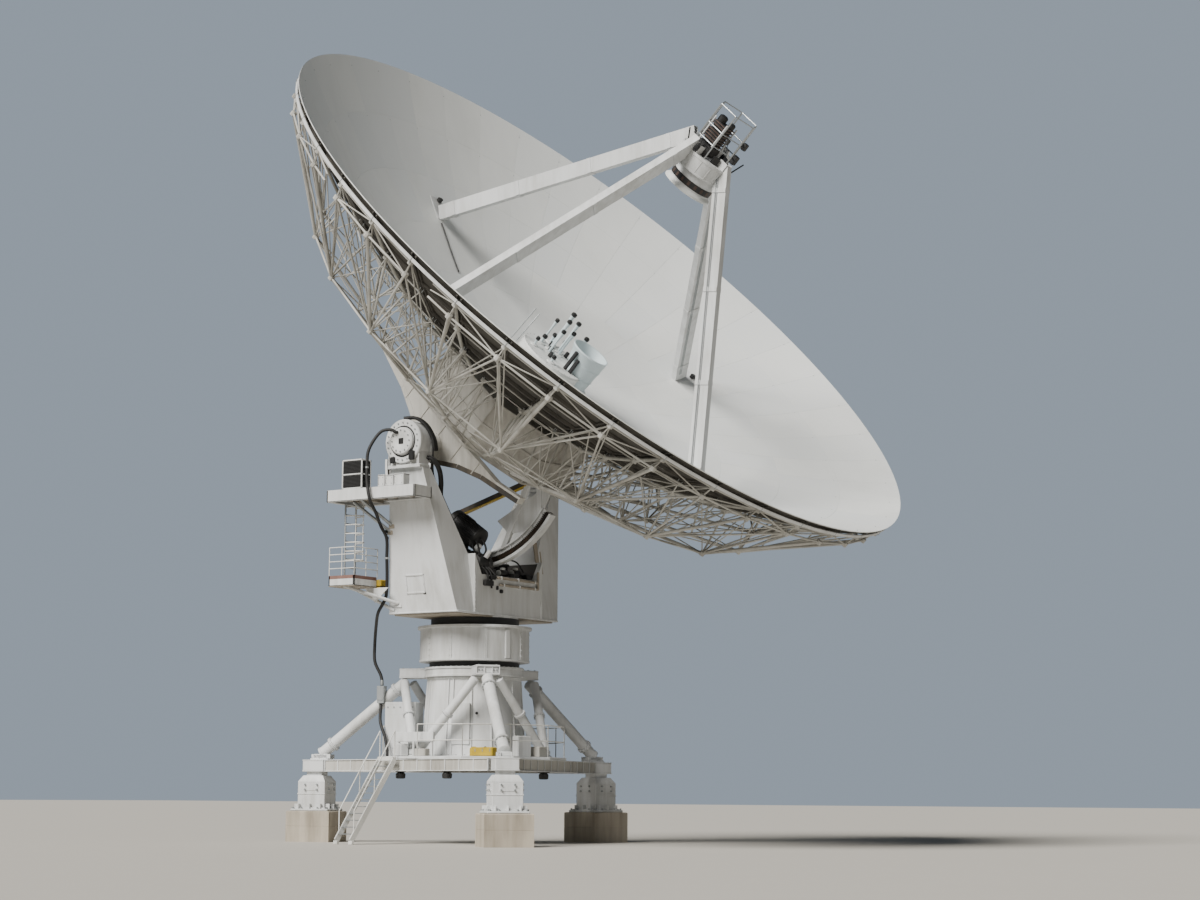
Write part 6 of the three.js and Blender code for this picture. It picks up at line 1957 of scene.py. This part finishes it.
class BASE_OT_deck(bpy.types.Operator):
    """Builds the deck with its rails, boxes, cabinet and socket fittings, and the stair to the ground"""

    bl_idname = "telescope.deck"
    bl_label = "Deck and stair"

    top = DECK_TOP - AIR
    sides = 12
    radius = 3.2
    gate = (7, 8)  # the sides by the stair

    def rim(self, inset, z):
        """The deck's corners, one more than its sides."""
        return [polar(self.radius - inset, 30 * k, z) for k in range(self.sides + 1)]

    def deck(self):
        body, joists = Shape(), Shape()
        body.loft([
            self.rim(inset, z)[:-1] for z, inset in (
                (2.83, 0.1), (2.85, 0.02), (2.89, 0.02), (self.top, 0.03),
            )
        ])
        edge = self.rim(0.03, 2.855)
        for a, b in zip(edge, edge[1:]):
            body.bar(a, b, 0.045, 0.085, chamfer=0.008)
        for k in range(self.sides):
            a, b = polar(1.9, 30 * k, 2.835), polar(self.radius - 0.08, 30 * k, 2.835)
            joists.bar(a, b, 0.08, 0.045)
        meshes = [body.mesh("enamel"), joists.mesh("shade")]
        piece("deck", "base", meshes, ["base_deck"])

    def rails(self, height):
        rim, wires = self.rim(0.09, self.top), []
        for k in range(self.sides):
            if k not in self.gate:
                wires += handrail([rim[k], rim[k + 1]], height)
        piece("deck_rails", "base", [round_bars(wires, "tube_enamel")])

    def boxes(self):
        boxes, dull, ochre = Shape(), Shape(), Shape()
        boxes.bar(polar(2.98, -112, 3.54), polar(2.9, -80, 3.54), 0.1, 0.32)
        for bearing in (-111, -96, -81):
            boxes.bar(polar(2.93, bearing, self.top), polar(2.93, bearing, 3.4), 0.06, 0.06)
        boxes.box((2.7, -0.27, self.top), (3.0, 0.27, 3.32), turn(-112), 0.03)
        dull.box((2.5, -0.3, self.top), (2.75, 0.3, 3.15), turn(-95), 0.02)
        dull.box((2.4, -0.25, self.top), (2.75, 0.25, 3.25), turn(5), 0.02)
        boxes.box((2.3, -0.3, self.top), (2.6, 0.3, 3.6), turn(-12), 0.03)
        piece("deck_boxes", "base", [boxes.mesh("enamel"), dull.mesh("hub_enamel")])
        ochre.box((1.36, -2.05, DECK_TOP + AIR), (2.3, -1.75, 3.2), None, 0.03)
        ochre.turned(
            [(0.14, DECK_TOP + AIR), (0.15, 2.92), (0.15, 3.12), (0.12, 3.19), (0.05, 3.225)],
            at(1.45, -1.9, 0), 24,
        )
        clasps = Shape()
        for x in (1.6, 1.9, 2.2):
            clasps.box((x - 0.02, -2.053, 3.05), (x + 0.02, -2.03, 3.15), None, 0.003)
        piece("yellow_box", "base", [ochre.mesh("ochre"), clasps.mesh("zinc")], ["deck_box"])

    def cabinet(self):
        body, places = Shape(), []
        body.box((1.95, -0.45, DECK_TOP + AIR), (3.05, 0.45, 4.74), None, 0.02)
        body.box((1.95, -0.45, 4.7), (3.05, 0.45, 4.78), None, 0.02)
        for z in (3.1, 4.35, 4.68):
            body.box((1.945, -0.452, z), (3.052, 0.452, z + 0.03), None, 0.006)
        for y, out in ((-0.45, -1), (0.45, 1)):
            places += bolt_grid((2.05, 2.27, 2.5, 2.73, 2.95), (y,), (3.2, 4.6), (0, out, 0))
        places += bolt_grid((3.05,), (-0.36, -0.18, 0, 0.18, 0.36), (3.2, 4.6), (1, 0, 0))
        doors = Shape()
        for y in (-0.38, 0.01):
            doors.box((3.03, y, 3.25), (3.052, y + 0.37, 4.5), None, 0.006)
        meshes = [body.mesh("enamel"), doors.mesh("enamel"), studs(places, 0.03, 0.03, "zinc")]
        piece("equipment_cabinet", "base", meshes, ["deck_cabinet"], place=turn(200))

    def stair(self):
        bearing, out, offset = 257, 3.26, -0.6
        width, run, rise, count = 0.8, 1.75, 2.79, 12
        rails, wires = Shape(), []
        treads = slats(
            vec(run / count, 0, rise - (rise - 0.11) / count),
            vec(run * (count - 1) / count, 0, 0.11 + (rise - 0.11) / count),
            UP, (0, 1, 0), (width, 0.22, 0.03), count - 1, "zinc",
        )
        for y in (-width / 2, width / 2):
            rails.bar((0, y, rise), (run, y, 0.11), 0.05, 0.2, chamfer=0.008)
            rails.bar((run, y, 0.0), (run, y, 0.12), 0.2, 0.1, up=(1, 0, 0), chamfer=0.008)
            top, foot = vec(0.0, y, rise + 0.95), vec(run * 0.94, y, 0.25 + 0.85)
            wires += [
                (top, foot, 0.02), (foot, foot - vec(0, 0, 0.85), 0.02), (top, top - vec(0, 0, 0.9), 0.02),
            ]
            middle = (top + foot) / 2
            wires.append((middle, middle - vec(0, 0, 0.9), 0.02))
        rails.box((-0.06, -width / 2, rise - 0.05), (0.1, width / 2, rise + 0.09), None, 0.01)
        meshes = [rails.mesh("tube_enamel"), treads, round_bars(wires, "tube_enamel")]
        piece("stair", "base", meshes, ["base_stair"], place=turn(bearing) @ at(out, offset, 0))

    def socket(self):
        trim, dark = Shape(), Shape()
        x0, x1, y0, y1, z0, z1 = 3.19, 3.44, 0.06, 0.34, 4.75, 5.345
        trim.box((x0 + 0.02, y1 - 0.005, z0 + 0.1), (x1 - 0.02, y1 + 0.012, z1 - 0.04), None, 0.004)
        trim.box((x1 - 0.005, y0 + 0.12, z0 + 0.2), (x1 + 0.012, y1 - 0.02, z1 - 0.04), None, 0.004)
        dark.turned([(0.07, 0), (0.07, 0.02)], at((x0 + x1) / 2, (y0 + y1) / 2, z1 - 0.005), 20)
        dark.turned([(0.075, 0), (0.075, 0.06)], at((x0 + x1) / 2, (y0 + y1) / 2 + 0.03, z0 - 0.03), 20)
        places = bolt_grid((x0 + 0.05, x1 - 0.05), (y1 + 0.012,), (z0 + 0.14, z1 - 0.08), (0, 1, 0))
        meshes = [trim.mesh("zinc"), dark.mesh("black"), studs(places, 0.012, 0.014, "zinc")]
        piece("socket_fittings", "base", meshes, place=turn(CORNERS["left"]))

    def execute(self, context):
        self.deck()
        self.rails(context.scene.telescope_yoke.rail_height)
        self.boxes()
        self.cabinet()
        self.stair()
        self.socket()
        return {"FINISHED"}


class TELESCOPE_PT_panel(bpy.types.Panel):
    """Lists the steps and the settings in the sidebar"""

    bl_idname = "TELESCOPE_PT_panel"
    bl_label = "Radio telescope dish"
    bl_space_type = "VIEW_3D"
    bl_region_type = "UI"
    bl_category = "Telescope"

    def draw(self, context):
        column = self.layout.column()
        for name in STEPS:
            column.operator(f"telescope.{name}")
        for name, group in SETTINGS.items():
            settings = getattr(context.scene, name)
            for field in group.__annotations__:
                column.prop(settings, field)


CLASSES = [
    PaintSettings, DishSettings, YokeSettings, BaseSettings, StageSettings,
    STAGE_OT_studio, DISH_OT_panels, DISH_OT_back_structure, DISH_OT_hub, DISH_OT_gear, DISH_OT_apex,
    DISH_OT_leg_fittings, DISH_OT_feeds, YOKE_OT_plating, YOKE_OT_drive, YOKE_OT_bearings, YOKE_OT_platform,
    YOKE_OT_cables, BASE_OT_pedestal, BASE_OT_struts, BASE_OT_feet, BASE_OT_deck, TELESCOPE_PT_panel,
]
STEPS = (
    "studio", "panels", "back_structure", "hub", "gear", "apex", "leg_fittings", "feeds", "yoke_plating",
    "drive",
    "bearings", "platform", "cables", "pedestal", "struts", "feet", "deck",
)
SETTINGS = {
    "telescope_paint": PaintSettings, "telescope_dish": DishSettings, "telescope_yoke": YokeSettings,
    "telescope_base": BaseSettings, "telescope_stage": StageSettings,
}


def register():
    for entry in CLASSES:
        bpy.utils.register_class(entry)
    for name, group in SETTINGS.items():
        setattr(bpy.types.Scene, name, PointerProperty(type=group))


def unregister():
    for name in SETTINGS:
        delattr(bpy.types.Scene, name)
    for entry in reversed(CLASSES):
        bpy.utils.unregister_class(entry)


def paint_kept_nodes():
    """Gives the carried-over pieces their finishes."""
    # The hub under the dish takes a darker enamel: painted shade, with dust
    by_node = {"feed_housing": "panel_plain", "hub": "hub_enamel"}
    by_slot = {
        "white_paint": "enamel", "panel_paint": "panel_plain", "concrete": "concrete", "dark_steel": "black",
        "galvanised": "zinc", "ochre_paint": "ochre", "rubber": "rubber",
    }
    for part in frame["record"]["subparts"]:
        node = frame["nodes"][part["node"]]
        paint = by_node.get(part["node"], by_slot[part["material_slot"]])
        for slot in node.material_slots:
            slot.link = "OBJECT"
            slot.material = PAINTS[paint]


def main():
    register()
    make_paints()
    TREES.update(round_bars=round_bars_tree(), studs=studs_tree(), slats=slats_tree())
    paint_kept_nodes()
    for step in STEPS:
        getattr(bpy.ops.telescope, step)()


if __name__ == "__main__":
    main()
